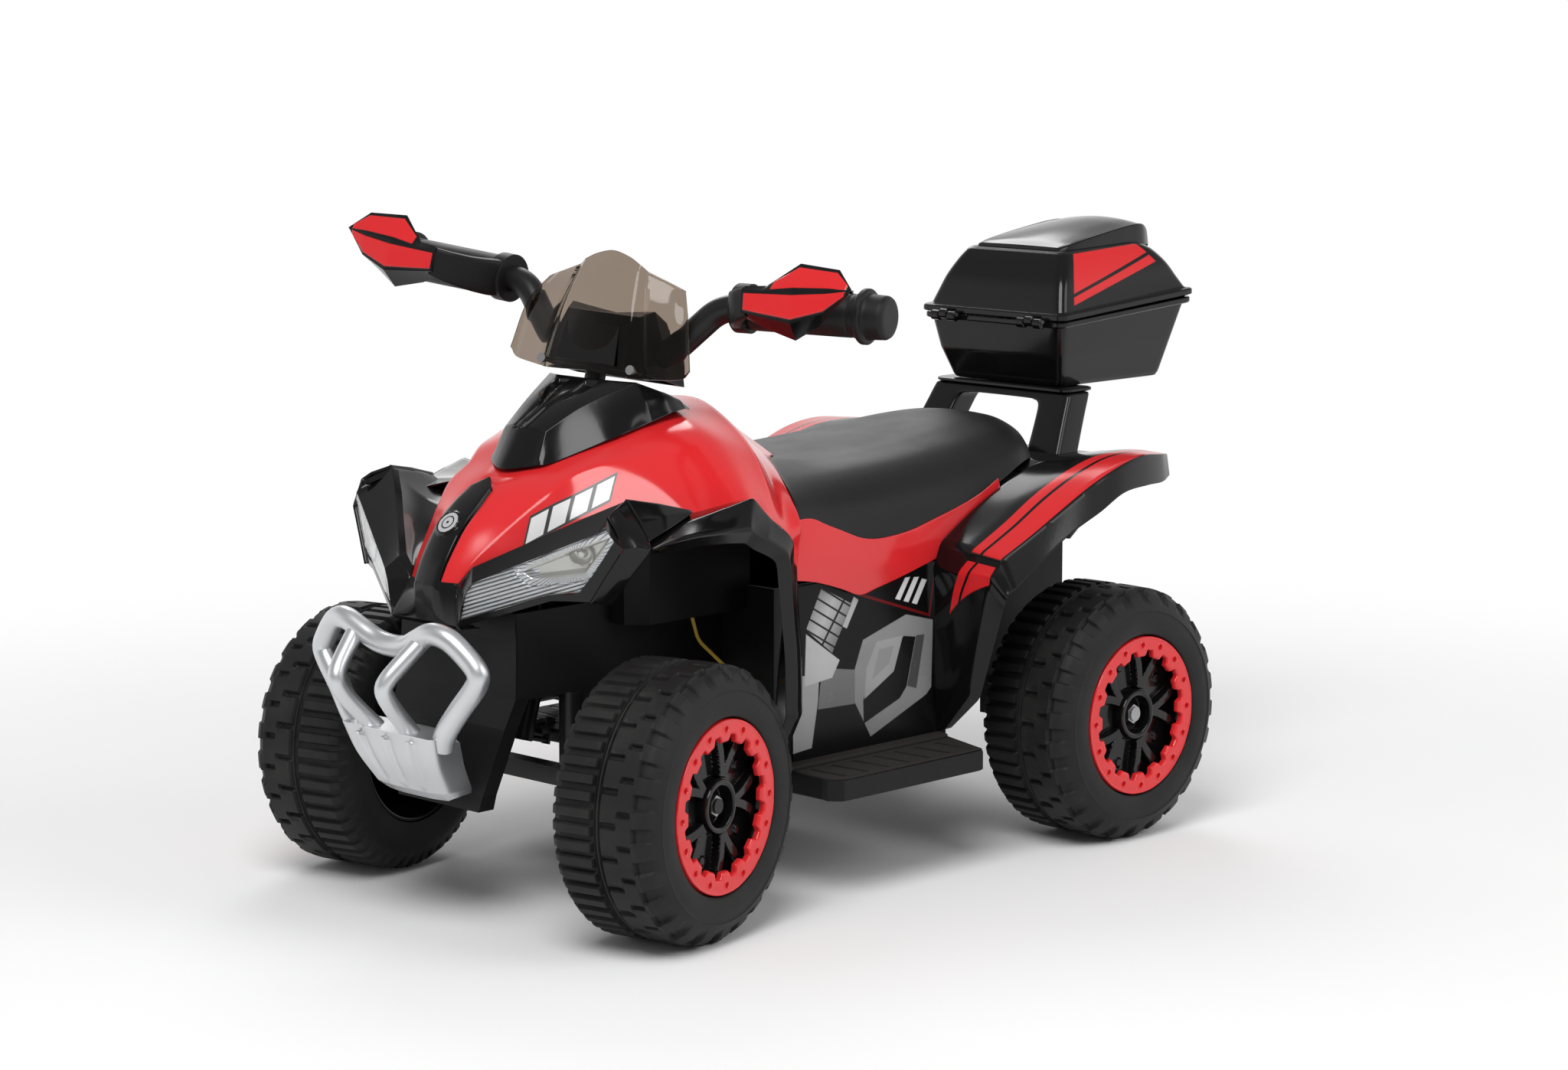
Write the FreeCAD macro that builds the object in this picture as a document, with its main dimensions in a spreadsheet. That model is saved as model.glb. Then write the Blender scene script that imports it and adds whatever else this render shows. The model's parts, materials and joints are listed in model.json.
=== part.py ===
import FreeCAD, Part
import math
import os
import Sketcher
from FreeCAD import Placement, Rotation, Vector

# Kids quad bike: battery ride-on with a lidded top case on a rear rack.
# Frame: origin on the floor under the middle, front towards -Y, rider's left +X, +Z up, millimetres.
# The steering stands turned to the left by steer_at_rest, so straight ahead is a joint value.

doc = FreeCAD.newDocument("kids_quad_bike")
sheet = doc.addObject("Spreadsheet::Sheet", "Sizes")

SIZES = {
    # body grid that the outline tables are shares of
    "grid_width": 100.0, "grid_length": 100.0, "grid_height": 100.0,
    "shell_wall": 3.0, "seat_gap": 0.3, "running_gap": 0.05, "overrun": 2.0,
    # wheels
    "wheel_radius": 90.0, "tyre_width": 79.0, "tyre_bore_radius": 57.0, "tread_depth": 3.5,
    "sidewall_radius": 76.0, "half_track": 187.8, "front_axle_reach": 247.9, "rear_axle_reach": 171.9,
    "ring_radius": 56.3, "ring_inner_radius": 43.5, "ring_thickness": 5.0, "ring_hole_radius": 1.8,
    "ring_hole_pitch": 49.5, "scallop_radius": 5.2, "rim_wall": 3.0, "rim_disc_depth": 13.0,
    "rim_disc_thickness": 5.0, "hub_radius": 17.3, "hub_recess_radius": 13.6, "hub_front_depth": 4.0,
    "hub_length": 24.0, "nut_seat_depth": 14.0, "spoke_width": 5.0, "spoke_height": 5.0,
    "axle_radius": 5.0, "nut_across": 12.0, "nut_height": 6.0,
    # front axle and steering
    "kingpin_inset": 40.0, "kingpin_radius": 4.0, "knuckle_radius": 9.0, "knuckle_height": 30.0,
    "steer_at_rest": 12.4, "steer_arm": 28.0, "arm_width": 8.0, "arm_thickness": 5.0,
    "arm_pin_radius": 3.0, "tie_rod_rise": 22.0, "tie_rod_thickness": 3.0, "tie_rod_width": 12.0,
    "lug_thickness": 5.0, "beam_height": 12.0, "beam_depth": 12.0, "post_offset": 51.0, "post_radius": 8.0,
    "column_radius": 7.0, "column_foot_reach": 244.4, "column_foot_height": 112.0, "column_lean": 16.1,
    "column_length": 258.0, "bar_radius": 9.0, "bar_bend_radius": 30.0, "head_width": 30.0,
    "head_depth": 21.5, "head_offset": 12.0, "grip_radius": 14.5, "grip_flange_radius": 18.5, "grip_length": 94.0,
    "grip_flange_width": 5.0, "guard_thickness": 4.0, "guard_ring_radius": 16.5, "guard_ring_width": 13.0,
    "screen_thickness": 2.0, "dash_wall": 2.5, "button_radius": 6.0, "button_height": 7.0,
    "button_travel": 2.0, "screw_head_radius": 3.2, "screw_head_height": 2.0, "screw_shank_radius": 1.6,
    "screw_length": 9.0,
    # hull
    "hull_half_width": 105.5, "hull_front": 115.0, "hull_back": 56.0, "hull_floor": 72.0, "hull_rim": 205.0,
    "nose_half_width": 56.0, "nose_reach": 300.0, "nose_floor": 148.0, "shelf_half_width": 80.0,
    "shelf_floor": 189.0, "shelf_reach": 216.0, "shelf_top": 246.0, "shelf_corner": 12.0,
    "tail_half_width": 58.0,
    "tail_reach": 236.0, "tail_floor": 104.0, "axle_bracket_depth": 30.0, "axle_bracket_width": 10.0,
    "spacer_radius": 9.0,
    # footrests and pedal
    "footrest_reach": 165.0, "footrest_bottom": 69.5, "footrest_thickness": 13.5, "footrest_front": 117.0,
    "footrest_back": 31.0, "footrest_slant": 17.0, "footrest_corner": 8.0, "groove_width": 3.0,
    "groove_length": 34.0, "groove_depth": 2.0, "groove_pitch": 15.0, "groove_count": 8.0,
    "pedal_width": 30.0, "pedal_length": 46.0, "pedal_thickness": 4.0, "pedal_tilt": 10.0,
    "pedal_pin_radius": 2.0, "pedal_pivot_rise": 6.0, "pedal_centre": 136.0, "pedal_heel": 52.0,
    # drive
    "gear_module": 1.5, "drive_teeth": 36.0, "drive_pinion_teeth": 12.0, "first_module": 1.0,
    "first_teeth": 48.0, "motor_teeth": 12.0, "gear_width": 8.0, "first_gear_width": 6.0,
    "gear_plane": 92.0, "gear_gap": 2.0, "gear_rise_angle": 30.0, "motor_rise_angle": 10.0,
    "case_wall": 2.5, "case_outer": 103.0, "motor_radius": 14.0, "motor_length": 48.0,
    "motor_shaft_radius": 1.5, "sleeve_radius": 9.5,
    "battery_width": 70.0, "battery_length": 47.0, "battery_height": 100.0,
    # switches and socket on the right side panel
    "rocker_width": 14.0, "rocker_height": 20.0, "rocker_depth": 9.0, "rocker_gap": 0.6,
    "socket_radius": 6.0, "socket_bore_radius": 2.75, "socket_length": 9.0, "socket_flange_radius": 8.5,
    "socket_flange": 1.5,
    # front bumper
    "bumper_tube_radius": 7.0, "bumper_bend_radius": 14.0, "plate_thickness": 8.0,
    # lamp, strip and lead
    "lens_thickness": 2.0, "lamp_depth": 14.0, "strip_thickness": 2.0, "badge_radius": 8.5,
    "badge_height": 1.5, "wire_radius": 1.2, "wire_bend_radius": 18.0,
    # top case
    "case_skin": 2.5, "flange_thickness": 4.5, "lid_gap": 0.5, "hinge_pin_radius": 1.5, "hinge_lug_radius": 4.0,
    "hinge_lug_width": 8.0, "hinge_offset": 42.0, "latch_width": 20.0, "latch_thickness": 2.5,
    "latch_height": 22.0, "latch_pin_radius": 1.5, "rack_plate": 6.0,
}
for row, (alias, value) in enumerate(SIZES.items(), start=1):
    sheet.set("A%d" % row, alias)
    sheet.set("B%d" % row, str(value))
    sheet.setAlias("B%d" % row, alias)
doc.recompute()


class Sizes:
    pass


s = Sizes()
for alias in SIZES:
    setattr(s, alias, float(getattr(sheet, alias)))

ORIGIN = Vector(0, 0, 0)
X_AXIS = Vector(1, 0, 0)
Y_AXIS = Vector(0, 1, 0)
Z_AXIS = Vector(0, 0, 1)
HALF_TURN = 180.0
QUARTER_TURN = 90.0
FULL_TURN = 360.0
SIDES = {"left": 1.0, "right": -1.0}
nodes = {}


# Document objects

def keep(obj, name):
    obj.Label = name
    nodes[name] = obj
    return obj


def feature(name, shape, place=None):
    obj = doc.addObject("Part::Feature", name)
    obj.Shape = shape
    if place:
        obj.Placement = place
    return keep(obj, name)


def cylinder(name, radius, height, place):
    obj = doc.addObject("Part::Cylinder", name)
    obj.setExpression("Radius", radius)
    obj.setExpression("Height", height)
    obj.Placement = place
    return obj


def box(name, length, width, height, place):
    obj = doc.addObject("Part::Box", name)
    obj.setExpression("Length", length)
    obj.setExpression("Width", width)
    obj.setExpression("Height", height)
    obj.Placement = place
    return obj


def fused(name, parts):
    obj = doc.addObject("Part::MultiFuse", name)
    obj.Shapes = parts
    return obj


def cut(name, base, tool):
    obj = doc.addObject("Part::Cut", name)
    obj.Base = base
    obj.Tool = tool
    return obj


def body(name):
    obj = doc.addObject("PartDesign::Body", name)
    return keep(obj, name)


def sketch(owner, name, role, edges):
    obj = owner.newObject("Sketcher::SketchObject", name)
    plane = next(f for f in owner.Origin.OriginFeatures if f.Role == role)
    obj.AttachmentSupport = [(plane, "")]
    obj.MapMode = "FlatFace"
    obj.addGeometry(edges, False)
    return obj


def circle(centre, radius):
    return Part.Circle(centre, Z_AXIS, radius)


def bind_radius(sk, index, expression):
    number = sk.addConstraint(Sketcher.Constraint("Radius", index, sk.Geometry[index].Radius))
    sk.setExpression("Constraints[%d]" % number, expression)


def lines(points):
    return [Part.LineSegment(a, b) for a, b in zip(points, points[1:] + points[:1])]


# Shapes

def at(share):
    return Vector(share[0] * s.grid_width, share[1] * s.grid_length, share[2] * s.grid_height)


def triangles(a, b, c, d):
    faces = []
    for p, q, r in ((a, b, c), (a, c, d)):
        if (q - p).cross(r - p).Length > 0:
            faces.append(Part.Face(Part.makePolygon([p, q, r, p])))
    return faces


def solid_of(faces):
    shell = Part.makeShell(faces)
    shell.sewShape()
    solid = Part.makeSolid(shell)
    if solid.Volume < 0:
        solid.reverse()
    return solid


def normals_of(rows):
    count, width = len(rows), len(rows[0])
    result = []
    for i in range(count):
        line = []
        for j in range(width):
            along = rows[min(i + 1, count - 1)][j] - rows[max(i - 1, 0)][j]
            across = rows[i][min(j + 1, width - 1)] - rows[i][max(j - 1, 0)]
            line.append(along.cross(across).normalize())
        result.append(line)
    return result


def panel(rows, wall):
    """A skin of even wall between a net of points and the net set back along its normals."""
    back = [[p - n * wall for p, n in zip(line, normals)] for line, normals in zip(rows, normals_of(rows))]
    return skin(rows, back)


def plate(rows, step):
    """A skin between a net of points and the same net moved by one step."""
    return skin(rows, [[p + step for p in line] for line in rows])


def skin(rows, back):
    count, width = len(rows), len(rows[0])
    faces = []
    for net in (rows, back):
        for i in range(count - 1):
            for j in range(width - 1):
                faces += triangles(net[i][j], net[i + 1][j], net[i + 1][j + 1], net[i][j + 1])
    rim = [(0, j) for j in range(width)] + [(i, width - 1) for i in range(1, count)]
    rim += [(count - 1, j) for j in range(width - 2, -1, -1)] + [(i, 0) for i in range(count - 2, 0, -1)]
    for (i, j), (k, m) in zip(rim, rim[1:] + rim[:1]):
        faces += triangles(rows[i][j], rows[k][m], back[k][m], back[i][j])
    return solid_of(faces)


def stack(loops):
    """A closed form through loops of equally many points, capped by fans."""
    faces = []
    for low, high in zip(loops, loops[1:]):
        for i in range(len(low)):
            k = (i + 1) % len(low)
            faces += triangles(low[i], low[k], high[k], high[i])
    for loop in (loops[0], loops[-1]):
        middle = sum(loop, ORIGIN) * (1.0 / len(loop))
        for i in range(len(loop)):
            k = (i + 1) % len(loop)
            faces += triangles(loop[i], loop[k], middle, middle)
    return solid_of(faces)


def table(shares):
    return [[at(p) for p in line] for line in shares]


def mirrored(shape):
    return shape.mirror(ORIGIN, X_AXIS)


def flip(point):
    return Vector(-point.x, point.y, point.z)


def both_sides(rows):
    """Rows given from the middle outwards, carried across to the other side."""
    return [[flip(p) for p in reversed(line[1:])] + line for line in rows]


def whole(shape):
    return max(shape.Solids, key=lambda solid: solid.Volume)


def block(low, high):
    size = high - low
    return Part.makeBox(size.x, size.y, size.z, low)


def rod(start, end, radius):
    return Part.makeCylinder(radius, (end - start).Length, start, end - start)


def tube_of(start, end, radius, bore):
    along = (end - start).normalize() * s.overrun
    return rod(start, end, radius).cut(rod(start - along, end + along, bore))


def bent_path(points, radius):
    """Straight runs joined by tangent arcs of one radius."""
    edges = []
    start = points[0]
    for before, corner, after in zip(points, points[1:], points[2:]):
        inward = (before - corner).normalize()
        outward = (after - corner).normalize()
        half = inward.getAngle(outward) / 2
        tangent = radius / math.tan(half)
        bisector = (inward + outward).normalize()
        middle = corner + bisector * (radius / math.sin(half) - radius)
        edges.append(Part.LineSegment(start, corner + inward * tangent).toShape())
        edges.append(Part.Arc(corner + inward * tangent, middle, corner + outward * tangent).toShape())
        start = corner + outward * tangent
    edges.append(Part.LineSegment(start, points[-1]).toShape())
    return Part.Wire(edges)


def pipe(points, bend, radius):
    path = bent_path(points, bend)
    section = Part.Wire([Part.makeCircle(radius, points[0], points[1] - points[0])])
    solid = path.makePipeShell([section], True, False)
    print("pipe volume share", round(solid.Volume / (math.pi * radius ** 2 * path.Length), 3))
    return solid


def gear(module, teeth, width, phase):
    """A spur gear along +X with straight-sided teeth, its first tooth at the phase angle from +Y."""
    pitch = module * teeth / 2
    root_share, tip_share = 1.25, 0.9
    tooth_shares = ((-0.30, -root_share), (-0.13, tip_share), (0.13, tip_share), (0.30, -root_share))
    points = []
    for k in range(int(teeth)):
        for turn_share, rise_share in tooth_shares:
            angle = math.radians(phase) + 2 * math.pi * (k + turn_share) / teeth
            radius = pitch + rise_share * module
            points.append(Vector(0, radius * math.cos(angle), radius * math.sin(angle)))
    face = Part.Face(Part.makePolygon(points + points[:1]))
    return face.extrude(X_AXIS * width)


# Places that several pieces share

front_axle = Vector(0, -s.front_axle_reach, s.wheel_radius)
rear_axle = Vector(0, s.rear_axle_reach, s.wheel_radius)
lean = math.radians(s.column_lean)
column_foot = Vector(0, -s.column_foot_reach, s.column_foot_height)
column_axis = Vector(0, math.sin(lean), math.cos(lean))
column_top = column_foot + column_axis * s.column_length
head_centre = column_top + Vector(0, s.head_offset, 0)
kingpin_x = s.half_track - s.kingpin_inset
hub_bore = s.axle_radius + s.running_gap
hub_end = s.hub_front_depth + s.hub_length


def turned(centre, axis):
    return Placement(ORIGIN, Rotation(axis, s.steer_at_rest), centre)


steer_turn = turned(column_foot, column_axis)
knuckle_turn = {side: turned(front_axle + X_AXIS * (sign * kingpin_x), Z_AXIS) for side, sign in SIDES.items()}


def wheel_place(side, axle):
    """The wheel's own +X points out of the bike; its origin is the centre of the red ring's face."""
    spin = Rotation(Z_AXIS, 0.0 if side == "left" else HALF_TURN)
    return Placement(axle + X_AXIS * (SIDES[side] * s.half_track), spin)


# Wheels: moulded tyre, dished rim with a star of ribs, red beadlock ring

TYRE_SHARES = ((0.025, None), (-0.015, 0.72), (0.03, 0.82), (0.11, 0.925), (0.23, 0.961), (0.77, 0.961),
               (0.89, 0.925), (0.965, 0.83), (0.985, 0.72), (0.97, None))
LUG_BANDS_SHARES = ((0.50, 0.84, 48, 0.60), (0.15, 0.46, 24, 0.72))


def tyre_shape():
    points = []
    for depth_share, radius_share in TYRE_SHARES:
        radius = s.tyre_bore_radius if radius_share is None else radius_share * s.wheel_radius
        points.append(Vector(-depth_share * s.tyre_width, radius, 0))
    shape = Part.Face(Part.makePolygon(points + points[:1])).revolve(ORIGIN, X_AXIS, FULL_TURN)
    for start_share, end_share, count, tooth_share in LUG_BANDS_SHARES:
        outline = []
        for k in range(count):
            for turn_share, radius in ((0.0, s.wheel_radius), (tooth_share, s.wheel_radius),
                                       (tooth_share, s.wheel_radius - s.tread_depth),
                                       (1.0, s.wheel_radius - s.tread_depth)):
                angle = 2 * math.pi * (k + turn_share) / count
                outline.append(Vector(0, radius * math.cos(angle), radius * math.sin(angle)))
        wire = Part.makePolygon(outline + outline[:1])
        hole = Part.Wire([Part.makeCircle(s.sidewall_radius, ORIGIN, X_AXIS)])
        band = Part.Face(wire).cut(Part.Face(hole)).extrude(X_AXIS * -(end_share - start_share) * s.tyre_width)
        band.translate(X_AXIS * -start_share * s.tyre_width)
        shape = shape.fuse(band)
    return whole(shape)


def rim_body(name, place):
    outer = s.tyre_bore_radius - s.seat_gap
    inner = outer - s.rim_wall
    front = -s.ring_thickness - s.seat_gap
    disc_front = -s.rim_disc_depth
    disc_back = disc_front - s.rim_disc_thickness
    back = -0.95 * s.tyre_width
    hub_front = -s.hub_front_depth
    nut_seat = -s.nut_seat_depth
    profile = [(front, outer), (back, outer), (back, inner), (disc_back, inner), (disc_back, s.hub_radius),
               (-hub_end, s.hub_radius), (-hub_end, hub_bore), (nut_seat, hub_bore),
               (nut_seat, s.hub_recess_radius), (hub_front, s.hub_recess_radius), (hub_front, s.hub_radius),
               (disc_front, s.hub_radius), (disc_front, inner), (front, inner)]
    owner = body(name)
    outline = sketch(owner, name + "_profile", "XY_Plane", lines([Vector(x, r, 0) for x, r in profile]))
    turn = owner.newObject("PartDesign::Revolution", name + "_turn")
    turn.Profile = outline
    turn.ReferenceAxis = (next(f for f in owner.Origin.OriginFeatures if f.Role == "X_Axis"), [""])
    turn.Angle = FULL_TURN
    doc.recompute()
    rib_from = s.hub_radius - s.overrun
    rib_to = inner
    half = s.spoke_width / 2
    corners = [Vector(-half, rib_from, 0), Vector(half, rib_from, 0), Vector(half * 2, rib_to, 0),
               Vector(-half * 2, rib_to, 0)]
    rib_outline = sketch(owner, name + "_rib", "YZ_Plane", lines(corners))
    rib_outline.AttachmentOffset = Placement(Vector(0, 0, disc_front), Rotation())
    rib = owner.newObject("PartDesign::Pad", name + "_rib_pad")
    rib.Profile = rib_outline
    rib.setExpression("Length", "Sizes.spoke_height")
    doc.recompute()
    ribs = owner.newObject("PartDesign::PolarPattern", name + "_ribs")
    ribs.Originals = [rib]
    ribs.Axis = (next(f for f in owner.Origin.OriginFeatures if f.Role == "X_Axis"), [""])
    ribs.Angle = FULL_TURN
    ribs.Occurrences = 10
    owner.Tip = ribs
    owner.Placement = place
    return owner


def ring_body(name, place):
    owner = body(name)
    outline = sketch(owner, name + "_outline", "YZ_Plane",
                     [circle(ORIGIN, s.ring_radius), circle(ORIGIN, s.ring_inner_radius)])
    bind_radius(outline, 0, "Sizes.ring_radius")
    bind_radius(outline, 1, "Sizes.ring_inner_radius")
    pad = owner.newObject("PartDesign::Pad", name + "_pad")
    pad.Profile = outline
    pad.setExpression("Length", "Sizes.ring_thickness")
    pad.Reversed = True
    doc.recompute()
    for label, radius, reach in (("hole", "ring_hole_radius", s.ring_hole_pitch),
                                 ("scallop", "scallop_radius", s.ring_inner_radius)):
        angle = 0.0 if label == "hole" else math.pi / 16
        centre = Vector(reach * math.cos(angle), reach * math.sin(angle), 0)
        mark = sketch(owner, name + "_" + label, "YZ_Plane", [circle(centre, getattr(s, radius))])
        bind_radius(mark, 0, "Sizes." + radius)
        pocket = owner.newObject("PartDesign::Pocket", name + "_" + label + "_cut")
        pocket.Profile = mark
        pocket.setExpression("Length", "Sizes.ring_thickness")
        doc.recompute()
        pattern = owner.newObject("PartDesign::PolarPattern", name + "_" + label + "s")
        pattern.Originals = [pocket]
        pattern.Axis = (next(f for f in owner.Origin.OriginFeatures if f.Role == "X_Axis"), [""])
        pattern.Angle = FULL_TURN
        pattern.Occurrences = 16
        owner.Tip = pattern
        doc.recompute()
    owner.Placement = place
    return owner


def hex_nut(name, place):
    nut = doc.addObject("Part::Prism", name + "_hex")
    nut.Polygon = 6
    nut.setExpression("Circumradius", "Sizes.nut_across / sqrt(3)")
    nut.setExpression("Height", "Sizes.nut_height")
    bore = cylinder(name + "_bore", "Sizes.axle_radius + Sizes.running_gap",
                    "Sizes.nut_height + 2 * Sizes.overrun", Placement(Vector(0, 0, -s.overrun), Rotation()))
    obj = cut(name, nut, bore)
    obj.Placement = place
    return obj


nut_local = Placement(X_AXIS * -(s.nut_seat_depth - s.seat_gap), Rotation(Y_AXIS, QUARTER_TURN))
tyre = tyre_shape()
rear_nuts = []
for end, axle in (("front", front_axle), ("rear", rear_axle)):
    for side, sign in SIDES.items():
        place = wheel_place(side, axle)
        if end == "front":
            place = knuckle_turn[side].multiply(place)
        name = end + "_" + side
        feature("tyre_" + name, tyre, place)
        rim_body("rim_" + name, place)
        ring_body("ring_" + name, place)
        nut = hex_nut("axle_nut_" + name, place.multiply(nut_local))
        if end == "front":
            keep(nut, "axle_nut_" + name)
        else:
            rear_nuts.append(nut)
keep(fused("rear_axle_nuts", rear_nuts), "rear_axle_nuts")

# Rear axle

axle_half = s.half_track - s.nut_seat_depth + s.nut_height + s.overrun
keep(cylinder("rear_axle", "Sizes.axle_radius",
              "2 * (Sizes.half_track - Sizes.nut_seat_depth + Sizes.nut_height + Sizes.overrun)",
              Placement(rear_axle - X_AXIS * axle_half, Rotation(Y_AXIS, QUARTER_TURN))), "rear_axle")

# Front axle: beam with forked ends, kingpins, knuckles with stub axles, tie rod

lug_inner = s.knuckle_height / 2 + s.seat_gap
lug_outer = lug_inner + s.lug_thickness
fork_back = kingpin_x - s.knuckle_radius - 3 * s.overrun
fork_front = kingpin_x + s.knuckle_radius


def beam_shape():
    half_depth = s.beam_depth / 2
    half_height = s.beam_height / 2
    shape = block(front_axle + Vector(-fork_back, -half_depth, -half_height),
                  front_axle + Vector(fork_back, half_depth, half_height))
    for sign in SIDES.values():
        parts = [block(Vector(fork_back - s.lug_thickness, -half_depth, -lug_outer),
                       Vector(fork_back, half_depth, lug_outer))]
        for low in (-lug_outer, lug_inner):
            parts.append(block(Vector(fork_back - s.lug_thickness, -half_depth, low),
                               Vector(fork_front, half_depth, low + s.lug_thickness)))
        fork = parts[0].fuse(parts[1:])
        hole = rod(Vector(kingpin_x, 0, -2 * lug_outer), Vector(kingpin_x, 0, 2 * lug_outer), s.kingpin_radius)
        fork = fork.cut(hole)
        if sign < 0:
            fork = mirrored(fork)
        fork.translate(front_axle)
        post_top = Vector(sign * s.post_offset, front_axle.y, s.nose_floor)
        post = rod(Vector(post_top.x, post_top.y, front_axle.z), post_top, s.post_radius)
        shape = shape.fuse([fork, post])
    return shape


feature("front_axle_beam", beam_shape())

pins = []
for side, sign in SIDES.items():
    foot = front_axle + Vector(sign * kingpin_x, 0, -lug_outer)
    pins.append(cylinder("kingpin_" + side, "Sizes.kingpin_radius",
                         "Sizes.knuckle_height + 2 * Sizes.seat_gap + 2 * Sizes.lug_thickness",
                         Placement(foot, Rotation())))
keep(fused("kingpins", pins), "kingpins")

tie_rod_low = s.tie_rod_rise - s.tie_rod_thickness / 2
tie_rod_high = s.tie_rod_rise + s.tie_rod_thickness / 2


def knuckle_shape(sign):
    half = s.knuckle_height / 2
    shape = rod(Vector(0, 0, -half), Vector(0, 0, half), s.knuckle_radius)
    shoulder = s.kingpin_inset - hub_end - s.seat_gap
    stub = s.kingpin_inset - s.nut_seat_depth + s.nut_height + s.overrun
    shape = shape.fuse([rod(ORIGIN, X_AXIS * (sign * shoulder), s.knuckle_radius - s.overrun),
                        rod(ORIGIN, X_AXIS * (sign * stub), s.axle_radius),
                        block(Vector(-s.arm_width / 2, 0, -s.arm_thickness / 2),
                              Vector(s.arm_width / 2, s.steer_arm + s.arm_width / 2, s.arm_thickness / 2)),
                        rod(Vector(0, s.steer_arm, 0), Vector(0, s.steer_arm, tie_rod_high + s.overrun),
                            s.arm_pin_radius),
                        rod(Vector(0, s.steer_arm, 0), Vector(0, s.steer_arm, tie_rod_low - s.seat_gap),
                            s.arm_pin_radius + s.overrun / 2)])
    bore = s.kingpin_radius + s.running_gap
    return shape.cut(rod(Vector(0, 0, -half - s.overrun), Vector(0, 0, half + s.overrun), bore))


for side, sign in SIDES.items():
    place = knuckle_turn[side].multiply(Placement(front_axle + X_AXIS * (sign * kingpin_x), Rotation()))
    feature("knuckle_" + side, knuckle_shape(sign), place)

crank_pin_radius = s.arm_pin_radius
crank_slot = crank_pin_radius + 2 * s.overrun


def tie_rod_shape():
    half_width = s.tie_rod_width / 2
    low, high = Vector(0, 0, tie_rod_low), Vector(0, 0, tie_rod_high)
    end = kingpin_x + half_width
    shape = block(low - Vector(end, half_width, 0), high + Vector(end, half_width, 0))
    shape = shape.fuse(block(low - Vector(2 * crank_slot, 2 * crank_slot, 0),
                             high + Vector(2 * crank_slot, 2 * crank_slot, 0)))
    slot_half = crank_pin_radius + s.overrun / 2
    holes = [block(low - Vector(slot_half, 1.5 * crank_slot, s.overrun),
                   high + Vector(slot_half, 1.5 * crank_slot, s.overrun))]
    for sign, gap in ((1.0, s.running_gap), (-1.0, s.seat_gap)):
        centre = X_AXIS * (sign * kingpin_x)
        holes.append(rod(centre + low - Z_AXIS * s.overrun, centre + high + Z_AXIS * s.overrun,
                         s.arm_pin_radius + gap))
    return shape.cut(holes)


arm_swing = Rotation(Z_AXIS, s.steer_at_rest).multVec(Y_AXIS * s.steer_arm)
feature("tie_rod", tie_rod_shape(), Placement(front_axle + arm_swing, Rotation()))

# Steering column with its crank at the foot and the handlebar head on top


def head_block(gap):
    """The clamp block under the handlebar, grown by a gap on every side."""
    half = Vector(s.head_width / 2 + gap, s.head_depth / 2 + gap, s.head_depth / 2 + gap)
    return block(head_centre - half, head_centre + half)


def column_shape():
    sideways = column_axis.cross(X_AXIS) * -1.0
    if sideways.y < 0:
        sideways = sideways * -1.0
    crank_end = column_foot + sideways * s.steer_arm
    crank_low = -s.arm_thickness
    shape = rod(column_foot + column_axis * crank_low, column_top, s.column_radius)
    web_radius = 0.4 * s.arm_thickness
    web = rod(column_foot + column_axis * (crank_low / 2), crank_end + column_axis * (crank_low / 2), web_radius)
    pin_rise = tie_rod_high + s.wheel_radius - crank_end.z + 2 * s.overrun
    pin = rod(crank_end + column_axis * crank_low, crank_end + column_axis * pin_rise, crank_pin_radius)
    head = head_block(0.0)
    bar = rod(head_centre - X_AXIS * s.head_width, head_centre + X_AXIS * s.head_width, s.bar_radius)
    return shape.fuse([web, pin, head]).cut(bar)


feature("steering_column", column_shape(), steer_turn)

BAR_SHARES = ((0.45, 0.0, 0.0), (0.80, 0.12, 0.37), (1.98, 0.22, 0.42))
bar_points = [head_centre + Vector(x * s.grid_width, y * s.grid_length, z * s.grid_height)
              for x, y, z in BAR_SHARES]


def bar_shape():
    right = [flip(p) for p in reversed(bar_points)]
    return pipe(right + bar_points, s.bar_bend_radius, s.bar_radius)


feature("handlebar", bar_shape(), steer_turn)

grip_axis = (bar_points[2] - bar_points[1]).normalize()
grip_start = bar_points[2] - grip_axis * s.grip_length
bar_bore = s.bar_radius + s.running_gap


def grip_shape():
    end = bar_points[2] + grip_axis * s.grip_flange_width
    flange = bar_points[2] - grip_axis * (3 * s.grip_flange_width)
    shape = rod(grip_start, end, s.grip_radius)
    shape = shape.fuse(rod(flange, flange + grip_axis * s.grip_flange_width, s.grip_flange_radius))
    return shape.cut(rod(grip_start - grip_axis * s.overrun, bar_points[2] + grip_axis * s.seat_gap, bar_bore))


grip = grip_shape()
feature("grips", Part.makeCompound([grip, mirrored(grip)]), steer_turn)

# Handguard: two facets that meet along a crease, on an arm from a ring clamped beside the grip

GUARD_SHARES = (
    ((1.24, -1.90, 4.01), (1.235, -1.93, 4.13), (1.28, -1.90, 4.24)),
    ((1.40, -1.84, 3.955), (1.45, -1.945, 4.19), (1.60, -1.80, 4.36)),
    ((1.64, -1.83, 3.88), (1.70, -1.945, 4.21), (1.75, -1.79, 4.37)),
    ((1.85, -1.85, 4.04), (1.88, -1.935, 4.23), (1.90, -1.80, 4.35)),
    ((1.99, -1.88, 4.20), (2.01, -1.90, 4.24), (2.02, -1.875, 4.27)),
)


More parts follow.
